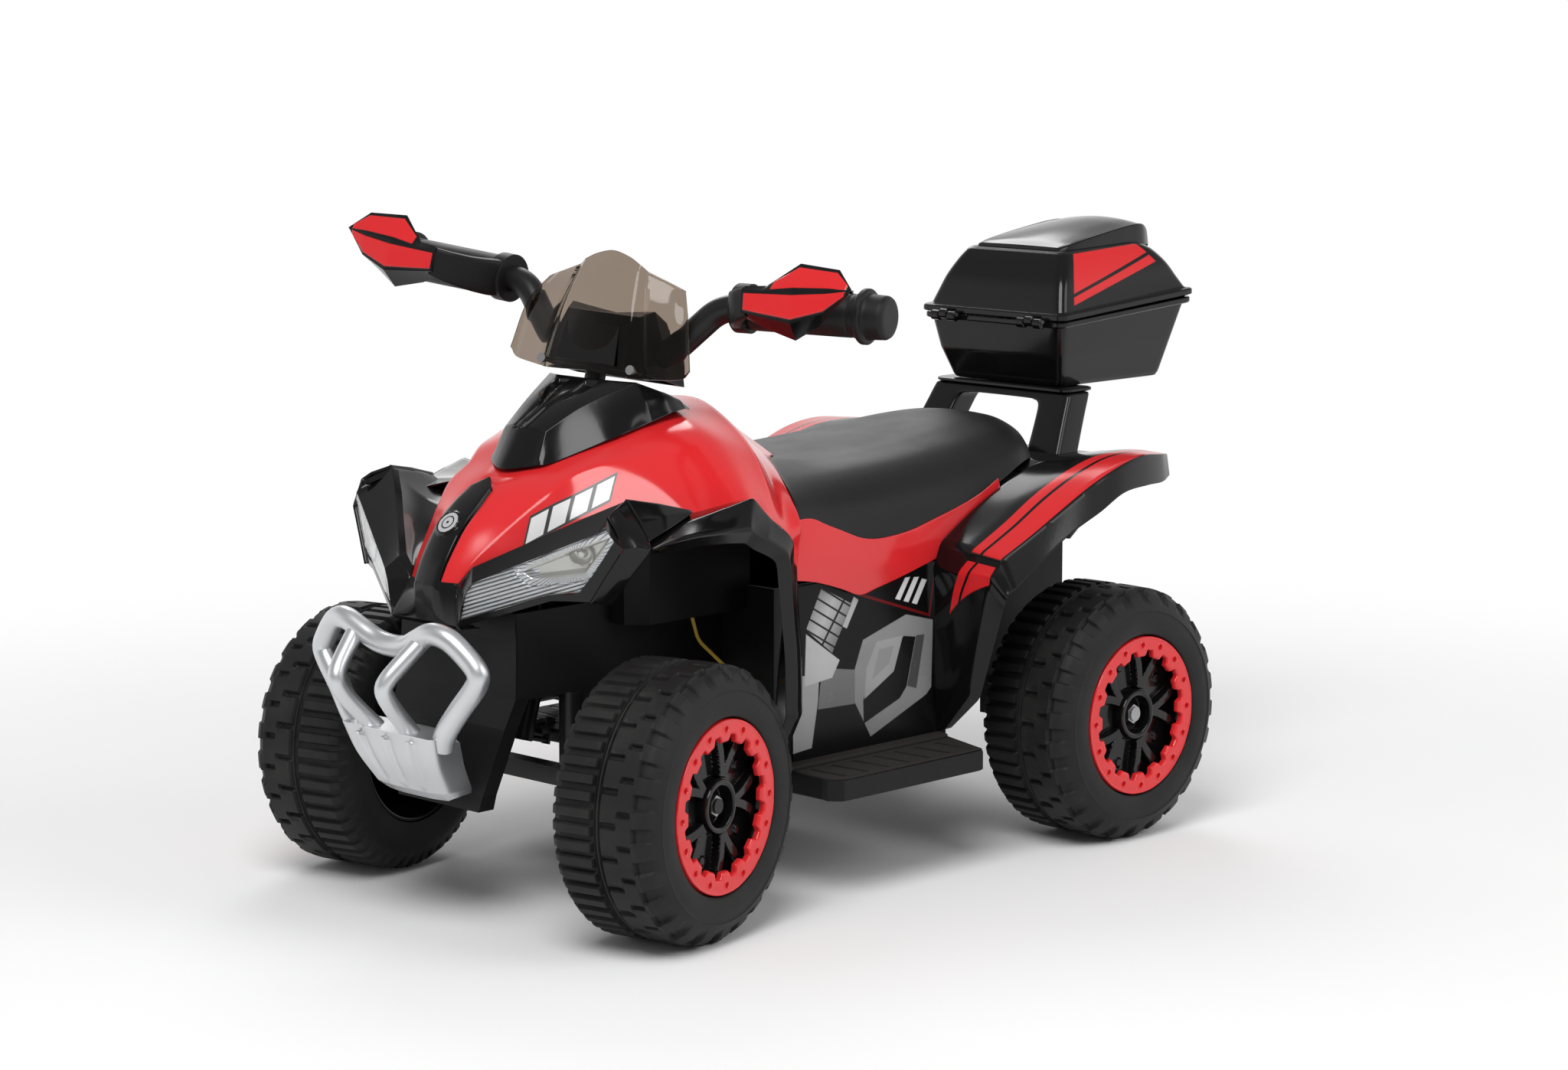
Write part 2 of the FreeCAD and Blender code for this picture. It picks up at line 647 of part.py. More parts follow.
def guard_shape():
    leaf = plate(table(GUARD_SHARES), Y_AXIS * s.guard_thickness)
    ring_start = grip_start - grip_axis * (s.guard_ring_width + s.seat_gap)
    ring_end = ring_start + grip_axis * s.guard_ring_width
    ring = tube_of(ring_start, ring_end, s.guard_ring_radius, bar_bore)
    root = at(GUARD_SHARES[1][1])
    near = ring_start + (ring_end - ring_start) * 0.5
    half = s.guard_ring_width / 2
    arm_half = s.guard_ring_radius / 2
    loops = []
    for centre, width, rise in ((near - Y_AXIS * s.guard_ring_radius * 0.9, half * 0.8, arm_half),
                                (root + Y_AXIS * s.overrun, half * 1.2, arm_half * 0.9)):
        loops.append([centre + Vector(i * width, 0, k * rise) for i, k in ((-1, -1), (1, -1), (1, 1), (-1, 1))])
    return whole(ring.fuse(stack(loops)).fuse(leaf))


guard = guard_shape()
feature("handguards", Part.makeCompound([guard, mirrored(guard)]), steer_turn)

# Dash housing under the screen: open below, its foot square to the column so that it clears the tank

DASH_SHARES = (
    ((0.40, -1.82, 3.51), (0.46, -1.62, 3.45), (0.44, -1.36, 3.375)),
    ((0.38, -1.80, 3.60), (0.45, -1.60, 3.60), (0.42, -1.36, 3.50)),
    ((0.29, -1.70, 3.86), (0.33, -1.58, 3.89), (0.32, -1.42, 3.80)),
)


def dash_loops(inset, drop):
    loops = []
    for level, line in enumerate(DASH_SHARES):
        left = [at(p) for p in line]
        low_front, low_back = left[0].y, left[-1].y
        loop = []
        for p in left + [flip(q) for q in reversed(left)]:
            move_x = -inset if p.x > 0 else inset
            move_y = inset if p.y == low_front else (-inset if p.y == low_back else 0.0)
            rise = -drop if level == 0 else (-inset if level == len(DASH_SHARES) - 1 else 0.0)
            loop.append(p + Vector(move_x, move_y, rise))
        loops.append(loop)
    return loops


BUTTON_SHARES = {"horn_button": 0.25, "music_button": -0.25}
button_slope = math.radians(62.0)
button_axis = Vector(0, math.cos(button_slope), math.sin(button_slope))
button_seat = at((0.0, -1.40, 3.70))
button_sink = 0.5 * s.button_height


def button_rod(x, low, high, radius):
    centre = button_seat + X_AXIS * (x * s.grid_width)
    return rod(centre + button_axis * low, centre + button_axis * high, radius)


def dash_shape():
    shape = stack(dash_loops(0.0, 0.0)).cut(stack(dash_loops(s.dash_wall, s.overrun)))
    bar_hole = pipe([flip(p) for p in reversed(bar_points)] + bar_points, s.bar_bend_radius,
                    s.bar_radius + s.seat_gap)
    shape = shape.cut(bar_hole)
    for x in BUTTON_SHARES.values():
        well = button_rod(x, -s.button_height, s.dash_wall, s.button_radius + s.seat_gap + s.dash_wall)
        shape = shape.fuse(well)
    for x in BUTTON_SHARES.values():
        shape = shape.cut(button_rod(x, -button_sink - s.button_travel, 3 * s.button_height,
                                     s.button_radius + s.seat_gap))
    stem = rod(column_foot, column_top, s.column_radius + s.seat_gap)
    return whole(shape.cut([head_block(s.seat_gap), stem]))


dash = dash_shape()
feature("dash_housing", dash, steer_turn)
for name, x in BUTTON_SHARES.items():
    feature(name, button_rod(x, -button_sink + s.seat_gap, button_sink + s.button_travel, s.button_radius),
            steer_turn)

# Windscreen: a raised middle panel with an arched top between two wings

SCREEN_SHARES = (
    ((0.0, -1.895, 3.49), (0.20, -1.89, 3.48), (0.33, -1.885, 3.475), (0.42, -1.80, 3.465), (0.66, -1.745, 3.49),
     (0.73, -1.735, 3.55)),
    ((0.0, -1.79, 3.88), (0.17, -1.785, 3.87), (0.28, -1.775, 3.86), (0.34, -1.72, 3.86), (0.58, -1.67, 3.86),
     (0.655, -1.665, 3.86)),
    ((0.0, -1.64, 4.20), (0.13, -1.635, 4.18), (0.225, -1.63, 4.165), (0.265, -1.60, 4.15), (0.46, -1.555, 4.075),
     (0.545, -1.545, 4.045)),
    ((0.0, -1.61, 4.27), (0.13, -1.61, 4.24), (0.223, -1.615, 4.195), (0.27, -1.595, 4.155), (0.465, -1.55, 4.08),
     (0.55, -1.543, 4.047)),
)
screen = panel(both_sides(table(SCREEN_SHARES)), -s.screen_thickness)
screw_axis = Vector(0, -math.cos(lean), math.sin(lean))
screw_spot = at((0.36, -1.86, 3.525))


def screen_screw(x_sign):
    spot = Vector(x_sign * screw_spot.x, screw_spot.y, screw_spot.z)
    return rod(spot - screw_axis * s.screw_length, spot + screw_axis * s.overrun, s.screw_shank_radius)


screw_shafts = [screen_screw(sign) for sign in SIDES.values()]
screen = whole(screen.cut(dash).cut(screw_shafts))
feature("windscreen", screen, steer_turn)
dash_obj = nodes["dash_housing"]
dash_obj.Shape = whole(dash.cut(screw_shafts))
dash_obj.Placement = steer_turn
heads = []
for sign in SIDES.values():
    spot = Vector(sign * screw_spot.x, screw_spot.y, screw_spot.z)
    head = rod(spot + screw_axis * s.overrun, spot + screw_axis * 2 * s.overrun, s.screw_head_radius)
    heads.append(whole(head.fuse(screen_screw(sign)).cut(screen)))
feature("windscreen_screws", Part.makeCompound(heads), steer_turn)

# Chassis hull: middle tub between the footrests, narrow nose and tail, front apron, axle brackets

bush_radius = s.column_radius + s.running_gap
bush_outer = bush_radius + s.rim_wall
nose_bush = column_foot + column_axis * ((s.nose_floor - s.column_foot_height) / column_axis.z)
socket_spot = Vector(-s.hull_half_width, 0.36 * s.grid_length, 1.30 * s.grid_height)
ROCKER_SHARES = {"power_switch": (0.10, 1.30), "direction_switch": (-0.16, 1.30)}


def rocker_spot(name):
    y, z = ROCKER_SHARES[name]
    return Vector(-s.hull_half_width, y * s.grid_length, z * s.grid_height)


APRON_SHARES = (
    ((0.40, -3.19, 0.76), (0.42, -3.17, 0.86), (0.56, -3.10, 1.31), (0.58, -3.02, 1.50), (0.56, -2.99, 2.05)),
    ((0.40, -3.06, 0.76), (0.42, -3.05, 0.86), (0.56, -2.98, 1.31), (0.56, -2.88, 1.50), (0.52, -2.85, 2.05)),
)


def tub(half_width, front, back, floor, rim):
    wall = s.shell_wall
    outer = block(Vector(-half_width, front, floor), Vector(half_width, back, rim))
    inner = block(Vector(-half_width + wall, front + wall, floor + wall),
                  Vector(half_width - wall, back - wall, rim + s.overrun))
    return outer, inner


def shelf_loop(inset, back, level):
    """Plan of the box between the front wheels: a rectangle with its two front corners cut."""
    half = s.shelf_half_width - inset
    front = -s.shelf_reach + inset
    trim = s.shelf_corner
    return [Vector(-half, back, level), Vector(-half, front + trim, level), Vector(trim - half, front, level),
            Vector(half - trim, front, level), Vector(half, front + trim, level), Vector(half, back, level)]


def hull_shape():
    tubs = [tub(s.hull_half_width, -s.hull_front, s.hull_back, s.hull_floor, s.hull_rim),
            tub(s.nose_half_width, -s.nose_reach, -s.hull_front + s.shell_wall, s.nose_floor, s.hull_rim),
            tub(s.tail_half_width, s.hull_back - s.shell_wall, s.tail_reach, s.tail_floor, s.hull_rim)]
    solids = [outer for outer, inner in tubs]
    shelf_back = -s.hull_front + s.shell_wall
    solids.append(stack([shelf_loop(0.0, shelf_back, level) for level in (s.shelf_floor, s.shelf_top)]))
    front, back = [[at(p) for p in line] for line in APRON_SHARES]
    loops = []
    for f, b in zip(front, back):
        loops.append([flip(f), f, b, flip(b)])
    solids.append(stack(loops))
    bracket_half = s.axle_bracket_depth / 2
    for sign in SIDES.values():
        low_x = min(sign * s.tail_half_width, sign * (s.tail_half_width - s.axle_bracket_width))
        low = Vector(low_x, rear_axle.y - bracket_half, rear_axle.z - bracket_half)
        solids.append(block(low, Vector(low_x + s.axle_bracket_width, rear_axle.y + bracket_half,
                                        s.tail_floor + s.shell_wall)))
    spacer_end = s.half_track - hub_end - s.seat_gap
    solids.append(rod(rear_axle + X_AXIS * (s.tail_half_width - s.axle_bracket_width),
                      rear_axle + X_AXIS * spacer_end, s.spacer_radius))
    shape = solids[0].fuse(solids[1:])
    tools = [inner for outer, inner in tubs]
    wall = s.shell_wall
    shelf_inside = -s.hull_front - s.overrun
    tools.append(stack([shelf_loop(wall, shelf_inside, level)
                        for level in (s.shelf_floor + wall, s.shelf_top + s.overrun)]))
    tools.append(rod(nose_bush - column_axis * s.tail_half_width, column_top, bush_outer))
    tools.append(rod(rear_axle - X_AXIS * s.half_track, rear_axle + X_AXIS * s.half_track, s.axle_radius))
    tools.append(rod(motor_centre - X_AXIS * s.case_outer, motor_centre, s.motor_radius))
    tools.append(rod(socket_spot - X_AXIS * s.overrun, socket_spot + X_AXIS * s.socket_length, s.socket_radius))
    for name in ROCKER_SHARES:
        half = Vector(s.rocker_depth, s.rocker_width / 2 + s.rocker_gap, s.rocker_height / 2 + s.rocker_gap)
        tools.append(block(rocker_spot(name) - half, rocker_spot(name) + half))
    return whole(shape.cut(tools))


# Drive train on the right: motor, two reductions in a case, last gear on the wheel's sleeve

drive_centre = rear_axle - X_AXIS * s.gear_plane
last_distance = s.gear_module * (s.drive_teeth + s.drive_pinion_teeth) / 2
first_distance = s.first_module * (s.first_teeth + s.motor_teeth) / 2
gear_rise = math.radians(HALF_TURN - s.gear_rise_angle)
motor_rise = math.radians(HALF_TURN - s.motor_rise_angle)
gear_step = Vector(0, math.cos(gear_rise), math.sin(gear_rise)) * last_distance
motor_step = Vector(0, math.cos(motor_rise), math.sin(motor_rise)) * first_distance
reduction_centre = drive_centre + gear_step
motor_gear_centre = reduction_centre + motor_step
first_plane = X_AXIS * s.gear_gap
motor_face = -s.tail_half_width - s.first_gear_width
motor_centre = Vector(motor_face + s.motor_length, motor_gear_centre.y, motor_gear_centre.z)


def mesh_phase(direction, own_teeth, gap):
    """Phase that puts a tooth, or a gap, of a gear on the line of centres."""
    shift = 0.5 * FULL_TURN / own_teeth if gap else 0.0
    return math.degrees(direction) + shift


def drive_gear_shape():
    shape = gear(s.gear_module, s.drive_teeth, s.gear_width, mesh_phase(gear_rise, s.drive_teeth, False))
    shape.translate(drive_centre - X_AXIS * s.gear_width)
    sleeve_end = rear_axle - X_AXIS * (s.half_track - hub_end)
    shape = shape.fuse(rod(drive_centre, sleeve_end, s.sleeve_radius))
    return shape.cut(rod(rear_axle, rear_axle - X_AXIS * s.half_track, hub_bore))


def reduction_gear_shape():
    small = gear(s.gear_module, s.drive_pinion_teeth, s.gear_width,
                 mesh_phase(gear_rise + math.pi, s.drive_pinion_teeth, True))
    small.translate(reduction_centre - X_AXIS * s.gear_width)
    big = gear(s.first_module, s.first_teeth, s.first_gear_width, mesh_phase(motor_rise, s.first_teeth, False))
    big.translate(reduction_centre + first_plane)
    inner_end = -s.tail_half_width - s.case_wall - s.seat_gap - reduction_centre.x
    outer_end = -s.case_outer + s.case_wall + s.seat_gap - reduction_centre.x
    shaft = rod(reduction_centre + X_AXIS * outer_end, reduction_centre + X_AXIS * inner_end,
                s.first_gear_width / 2)
    return small.fuse([big, shaft])


def pinion_shape():
    shape = gear(s.first_module, s.motor_teeth, s.first_gear_width,
                 mesh_phase(motor_rise + math.pi, s.motor_teeth, True))
    shape.translate(motor_gear_centre + first_plane)
    end = Vector(motor_face - s.seat_gap, motor_centre.y, motor_centre.z)
    return shape.fuse(rod(motor_gear_centre + first_plane, end, s.motor_shaft_radius))


feature("drive_gear", drive_gear_shape())
feature("reduction_gear", reduction_gear_shape())
feature("motor_pinion", pinion_shape())
motor_can = cylinder("motor_can", "Sizes.motor_radius", "Sizes.motor_length",
                     Placement(motor_centre - X_AXIS * s.motor_length, Rotation(Y_AXIS, QUARTER_TURN)))
motor_cap = cylinder("motor_cap", "Sizes.motor_radius * 0.4", "Sizes.overrun",
                     Placement(motor_centre, Rotation(Y_AXIS, QUARTER_TURN)))
keep(fused("motor", [motor_can, motor_cap]), "motor")


def gearbox_shape():
    tip = s.gear_module + s.seat_gap + s.overrun
    rounds = ((drive_centre, s.gear_module * s.drive_teeth / 2 + tip),
              (reduction_centre, s.first_module * s.first_teeth / 2 + tip),
              (motor_gear_centre, s.motor_radius + s.overrun))
    outer, inner = [], []
    for centre, radius in rounds:
        start = Vector(-s.case_outer, centre.y, centre.z)
        end = Vector(-s.tail_half_width, centre.y, centre.z)
        outer.append(rod(start, end, radius + s.case_wall))
        inner.append(rod(start + X_AXIS * s.case_wall, end - X_AXIS * s.case_wall, radius))
    shape = outer[0].fuse(outer[1:]).cut(inner)
    holes = [rod(rear_axle, rear_axle - X_AXIS * s.case_outer * 0.8, s.axle_radius),
             rod(drive_centre, drive_centre - X_AXIS * s.case_outer, s.sleeve_radius + s.seat_gap),
             rod(motor_centre - X_AXIS * s.motor_length, motor_centre, s.motor_radius)]
    shape = shape.cut(holes)
    return whole(shape)


feature("gearbox_case", gearbox_shape())
hull = hull_shape()
feature("chassis_hull", hull)

bushes = []
for start, end, radius in ((nose_bush, nose_bush + column_axis * 4 * s.rim_wall, bush_outer),
                           (nose_bush + column_axis * 4 * s.rim_wall, nose_bush + column_axis * 5 * s.rim_wall,
                            bush_outer + s.rim_wall)):
    bushes.append(tube_of(start, end, radius, bush_radius))
feature("column_bush", whole(bushes[0].fuse(bushes[1]).cut(hull)))

battery_low = Vector(-s.battery_width / 2, -0.95 * s.grid_length, s.hull_floor + s.shell_wall)
keep(box("battery", "Sizes.battery_width", "Sizes.battery_length", "Sizes.battery_height",
         Placement(battery_low, Rotation())), "battery")

# Charging socket and rocker switches in the right side panel

socket_place = Placement(socket_spot + X_AXIS * s.socket_length, Rotation(Y_AXIS, -QUARTER_TURN))
socket_barrel = cylinder("socket_barrel", "Sizes.socket_radius", "Sizes.socket_length", socket_place)
socket_flange = cylinder("socket_flange", "Sizes.socket_flange_radius", "Sizes.socket_flange",
                         Placement(socket_spot, Rotation(Y_AXIS, -QUARTER_TURN)))
socket_hole = cylinder("socket_hole", "Sizes.socket_bore_radius", "Sizes.socket_length + Sizes.overrun",
                       Placement(socket_spot + X_AXIS * (s.socket_length - s.overrun),
                                 Rotation(Y_AXIS, -QUARTER_TURN)))
keep(cut("charge_socket", fused("socket_outer", [socket_barrel, socket_flange]), socket_hole), "charge_socket")

for name in ROCKER_SHARES:
    half_height = s.rocker_height / 2
    outline = [Vector(s.rocker_depth / 2, 0, -half_height), Vector(s.rocker_depth / 2, 0, half_height),
               Vector(-s.overrun, 0, half_height), Vector(-s.overrun / 2, 0, 0),
               Vector(-s.overrun, 0, -half_height)]
    outline = [Vector(p.x, p.y - s.rocker_width / 2, p.z * 0.96) for p in outline]
    rocker = Part.Face(Part.makePolygon(outline + outline[:1])).extrude(Y_AXIS * s.rocker_width)
    trunnion_reach = s.rocker_width / 2 + s.rocker_gap / 2
    trunnion = rod(Y_AXIS * -trunnion_reach, Y_AXIS * trunnion_reach, s.rocker_depth / 6)
    feature(name, rocker.fuse(trunnion), Placement(rocker_spot(name), Rotation()))

# Footrests with slanted grip grooves, and the accelerator pedal on the right one

pedal_pivot = Vector(-s.pedal_centre, -s.pedal_heel, s.footrest_bottom + s.footrest_thickness
                     + s.pedal_pivot_rise)


def footrest_body(name, sign):
    inner = sign * (s.hull_half_width)
    outer = sign * s.footrest_reach
    corner = sign * s.footrest_corner
    points = [Vector(inner, -s.footrest_front + s.footrest_slant, 0),
              Vector(outer - corner, -s.footrest_front, 0),
              Vector(outer, -s.footrest_front + s.footrest_corner, 0),
              Vector(outer, s.footrest_back - s.footrest_corner, 0),
              Vector(outer - corner, s.footrest_back, 0),
              Vector(inner, s.footrest_back + s.footrest_slant, 0)]
    owner = body(name)
    outline = sketch(owner, name + "_outline", "XY_Plane", lines(points))
    pad = owner.newObject("PartDesign::Pad", name + "_pad")
    pad.Profile = outline
    pad.setExpression("Length", "Sizes.footrest_thickness")
    doc.recompute()
    start = Vector((inner + outer) / 2 - sign * s.groove_length / 2, -s.footrest_front + 2 * s.footrest_slant, 0)
    along = Vector(sign * s.groove_length, -s.footrest_slant * 0.6, 0)
    width = Vector(0, s.groove_width, 0)
    mark = sketch(owner, name + "_groove", "XY_Plane",
                  lines([start, start + along, start + along + width, start + width]))
    mark.AttachmentOffset = Placement(Vector(0, 0, s.footrest_thickness), Rotation())
    pocket = owner.newObject("PartDesign::Pocket", name + "_groove_cut")
    pocket.Profile = mark
    pocket.setExpression("Length", "Sizes.groove_depth")
    doc.recompute()
    pattern = owner.newObject("PartDesign::LinearPattern", name + "_grooves")
    pattern.Originals = [pocket]
    pattern.Direction = (next(f for f in owner.Origin.OriginFeatures if f.Role == "Y_Axis"), [""])
    pattern.setExpression("Length", "Sizes.groove_pitch * (Sizes.groove_count - 1)")
    pattern.Occurrences = int(s.groove_count)
    owner.Tip = pattern
    doc.recompute()
    holes = sketch(owner, name + "_holes", "XY_Plane",
                   [circle(spot, s.screw_shank_radius + s.running_gap) for spot in screw_spots(sign)])
    holes.AttachmentOffset = Placement(Vector(0, 0, s.footrest_thickness), Rotation())
    drill = owner.newObject("PartDesign::Pocket", name + "_hole_cut")
    drill.Profile = holes
    drill.setExpression("Length", "Sizes.screw_length")
    owner.Tip = drill
    owner.Placement = Placement(Z_AXIS * s.footrest_bottom, Rotation())
    doc.recompute()
    return owner


def screw_spots(sign):
    x = sign * (s.hull_half_width + 2 * s.screw_head_radius)
    return [Vector(x, -s.footrest_front + 2 * s.footrest_slant - s.screw_head_radius, 0),
            Vector(x, s.footrest_back + s.footrest_slant - 3 * s.screw_head_radius, 0)]


footrests = {side: footrest_body("footrest_" + side, sign) for side, sign in SIDES.items()}
footrest_top = s.footrest_bottom + s.footrest_thickness

ears = []
ear_inner = s.pedal_width / 2 + s.seat_gap
ear_width = 2 * s.pedal_pin_radius
for sign in SIDES.values():
    start = pedal_pivot + X_AXIS * (sign * ear_inner)
    end = pedal_pivot + X_AXIS * (sign * (ear_inner + ear_width))
    radius = 2 * s.pedal_pin_radius
    low = Vector(min(start.x, end.x), pedal_pivot.y - radius, footrest_top)
    ear = block(low, low + Vector(ear_width, 2 * radius, pedal_pivot.z - footrest_top))
    ear = ear.fuse(rod(start, end, radius))
    ears.append(ear.cut(rod(pedal_pivot - X_AXIS * s.pedal_width, pedal_pivot + X_AXIS * s.pedal_width,
                            s.pedal_pin_radius + s.running_gap)))
feature("pedal_ears", Part.makeCompound(ears))
del nodes["pedal_ears"]
footrests["right"].Label = "footrest_right_plate"
keep(fused("footrest_right_with_ears", [footrests["right"], doc.getObject("pedal_ears")]), "footrest_right")


def pedal_shape():
    half = s.pedal_width / 2
    shape = block(Vector(-half, -s.pedal_length, -s.pedal_thickness / 2), Vector(half, 0, s.pedal_thickness / 2))
    shape = shape.fuse(rod(Vector(-half - ear_width, 0, 0), Vector(half + ear_width, 0, 0), s.pedal_pin_radius))
    ridge = s.pedal_thickness / 2
    for share in (0.3, 0.5, 0.7, 0.9):
        low = Vector(-half * 0.8, -s.pedal_length * share, ridge)
        shape = shape.fuse(block(low, low + Vector(half * 1.6, s.overrun, s.overrun / 2)))
    return shape


feature("accelerator_pedal", pedal_shape(), Placement(pedal_pivot, Rotation(X_AXIS, -s.pedal_tilt)))

screws = []
for side, sign in SIDES.items():
    for index, spot in enumerate(screw_spots(sign)):
        top = Vector(spot.x, spot.y, footrest_top)
        name = "screw_%s_%d" % (side, index)
        head = cylinder(name + "_head", "Sizes.screw_head_radius", "Sizes.screw_head_height",
                        Placement(top, Rotation()))
        shank = cylinder(name + "_shank", "Sizes.screw_shank_radius", "Sizes.screw_length - Sizes.overrun",
                         Placement(top - Z_AXIS * (s.screw_length - s.overrun), Rotation()))
        screws.append(fused(name, [head, shank]))
keep(fused("body_screws", screws), "body_screws")

# Red upper shell: bonnet and tank in one net, side bands running back under the seat

HOOD_SHARES = (
    ((0.0, -3.264, 2.227), (0.06, -3.255, 2.227), (0.11, -3.24, 2.227), (0.15, -3.225, 2.227),
     (0.19, -3.205, 2.227), (0.226, -3.187, 2.227)),
    ((0.0, -3.18, 2.38), (0.08, -3.175, 2.38), (0.14, -3.16, 2.37), (0.19, -3.145, 2.355),
     (0.24, -3.14, 2.345), (0.28, -3.14, 2.33)),
    ((0.0, -3.05, 2.55), (0.10, -3.04, 2.55), (0.19, -3.02, 2.54), (0.32, -2.98, 2.53),
     (0.47, -2.95, 2.52), (0.62, -2.91, 2.51)),
    ((0.0, -2.72, 2.805), (0.11, -2.71, 2.805), (0.24, -2.69, 2.80), (0.50, -2.65, 2.80),
     (0.78, -2.61, 2.79), (1.00, -2.58, 2.77)),
    ((0.0, -2.47, 2.92), (0.14, -2.46, 2.92), (0.30, -2.44, 2.92), (0.62, -2.40, 2.89),
     (0.90, -2.36, 2.81), (1.10, -2.33, 2.715)),
    ((0.0, -2.05, 3.13), (0.22, -2.05, 3.12), (0.47, -2.05, 3.08), (0.76, -2.05, 2.99),
     (1.00, -2.05, 2.84), (1.18, -2.04, 2.675)),
    ((0.0, -1.45, 3.23), (0.26, -1.46, 3.23), (0.50, -1.48, 3.21), (0.80, -1.50, 3.08),
     (1.03, -1.50, 2.90), (1.20, -1.51, 2.68)),
    ((0.0, -0.93, 3.24), (0.30, -0.99, 3.20), (0.60, -1.06, 3.08), (0.86, -1.12, 2.93),
     (1.05, -1.18, 2.76), (1.18, -1.25, 2.55)),
    ((0.0, -0.50, 2.98), (0.27, -0.70, 2.99), (0.52, -0.85, 2.93), (0.80, -0.99, 2.80),
     (1.02, -1.06, 2.61), (1.165, -1.12, 2.39)),
    ((0.0, -0.13, 2.76), (0.24, -0.38, 2.79), (0.46, -0.58, 2.80), (0.76, -0.78, 2.73),
     (0.98, -0.90, 2.61), (1.12, -0.98, 2.50)),
)
BAND_SHARES = (
    ((1.125, -1.10, 2.52), (1.145, -1.12, 2.32), (1.15, -1.12, 2.125)),
    ((1.12, -0.97, 2.54), (1.14, -0.99, 2.33), (1.145, -1.00, 2.105)),
    ((1.13, -0.60, 2.38), (1.14, -0.62, 2.21), (1.13, -0.68, 2.03)),
    ((1.12, -0.20, 2.297), (1.13, -0.25, 2.12), (1.10, -0.33, 1.94)),
    ((1.11, 0.30, 2.36), (1.12, 0.14, 2.18), (1.10, 0.02, 2.00)),
    ((1.09, 0.68, 2.445), (1.10, 0.55, 2.28), (1.10, 0.42, 2.09)),
    ((1.08, 0.86, 2.49), (1.08, 0.77, 2.39), (1.09, 0.66, 2.21)),
    ((1.05, 1.137, 2.56), (1.05, 1.12, 2.53), (1.05, 1.10, 2.49)),
)
hood = panel([list(reversed(line)) for line in both_sides(table(HOOD_SHARES))], s.shell_wall)
band = panel(table(BAND_SHARES), -s.shell_wall)
column_clear = rod(column_foot, column_top, bush_outer + s.overrun)
shell = whole(hood.fuse([band, mirrored(band)]).cut(column_clear))
print("shell", len(shell.Solids), round(shell.Volume))

# Tank cover round the column foot, its top square to the column

COVER_SHARES = (
    ((0.0, -2.61, 2.915), (0.12, -2.575, 2.92), (0.22, -2.515, 2.925), (0.24, -2.50, 2.93), (0.254, -2.485, 2.94)),
    ((0.0, -2.44, 3.17), (0.11, -2.425, 3.16), (0.202, -2.398, 3.141), (0.25, -2.40, 3.05), (0.29, -2.40, 2.97)),
    ((0.0, -2.15, 3.33), (0.15, -2.14, 3.32), (0.28, -2.13, 3.305), (0.40, -2.11, 3.20), (0.48, -2.10, 3.12)),
    ((0.0, -1.90, 3.443), (0.18, -1.893, 3.443), (0.42, -1.80, 3.434), (0.50, -1.79, 3.31), (0.55, -1.78, 3.18)),
    ((0.0, -1.70, 3.385), (0.18, -1.70, 3.385), (0.43, -1.65, 3.38), (0.51, -1.62, 3.34), (0.56, -1.59, 3.23)),
    ((0.0, -1.50, 3.33), (0.20, -1.50, 3.33), (0.42, -1.50, 3.325), (0.50, -1.48, 3.30), (0.53, -1.46, 3.25)),
    ((0.0, -1.32, 3.26), (0.20, -1.32, 3.26), (0.42, -1.34, 3.25), (0.48, -1.36, 3.24), (0.50, -1.38, 3.23)),
)
cover = panel([list(reversed(line)) for line in both_sides(table(COVER_SHARES))], s.shell_wall)
cover = whole(cover.cut(shell).cut(column_clear))
feature("upper_shell", shell)
feature("tank_cover", cover)

STRIP_SHARES = (
    ((0.0, -3.275, 2.225), (0.085, -3.265, 2.225)),
    ((0.0, -3.19, 2.385), (0.095, -3.18, 2.385)),
    ((0.0, -3.06, 2.555), (0.11, -3.045, 2.555)),
    ((0.0, -2.88, 2.69), (0.10, -2.875, 2.69)),
    ((0.0, -2.715, 2.815), (0.02, -2.715, 2.815)),
)
strip_rows = [list(reversed(line)) for line in both_sides(table(STRIP_SHARES))]
strip = panel(strip_rows, -s.strip_thickness)
badge_out = Vector(0, -0.65, 0.76)
badge_spot = at((0.0, -3.045, 2.565))
badge = rod(badge_spot, badge_spot + badge_out * (s.strip_thickness + s.badge_height), s.badge_radius)
feature("nose_strip", whole(strip.fuse(badge).cut(shell)))

# Front cowl: lamp housings either side of a nose block, fenders sweeping back to mud legs

LAMP_SHARES = ((0.226, -3.20, 2.215), (0.62, -2.925, 2.505), (1.00, -2.61, 2.765), (1.22, -2.77, 2.73),
               (1.33, -2.84, 2.46), (1.324, -2.846, 2.208), (0.70, -3.10, 1.995), (0.32, -3.287, 1.988))
LENS_SHARES = ((0.42, -3.255, 2.20), (0.70, -3.075, 2.375), (1.08, -2.86, 2.61), (1.20, -2.84, 2.635),
               (1.22, -2.83, 2.53), (1.14, -2.87, 2.26), (0.72, -3.10, 2.085), (0.35, -3.278, 2.015))
NOSE_SHARES = (
    ((0.0, -3.262, 2.22), (0.23, -3.19, 2.22), (0.23, -2.99, 2.22), (0.0, -2.99, 2.22)),
    ((0.0, -3.262, 2.12), (0.33, -3.26, 2.12), (0.33, -2.99, 2.12), (0.0, -2.99, 2.12)),
    ((0.0, -3.235, 1.96), (0.33, -3.28, 1.985), (0.33, -2.99, 1.985), (0.0, -2.99, 1.96)),
)
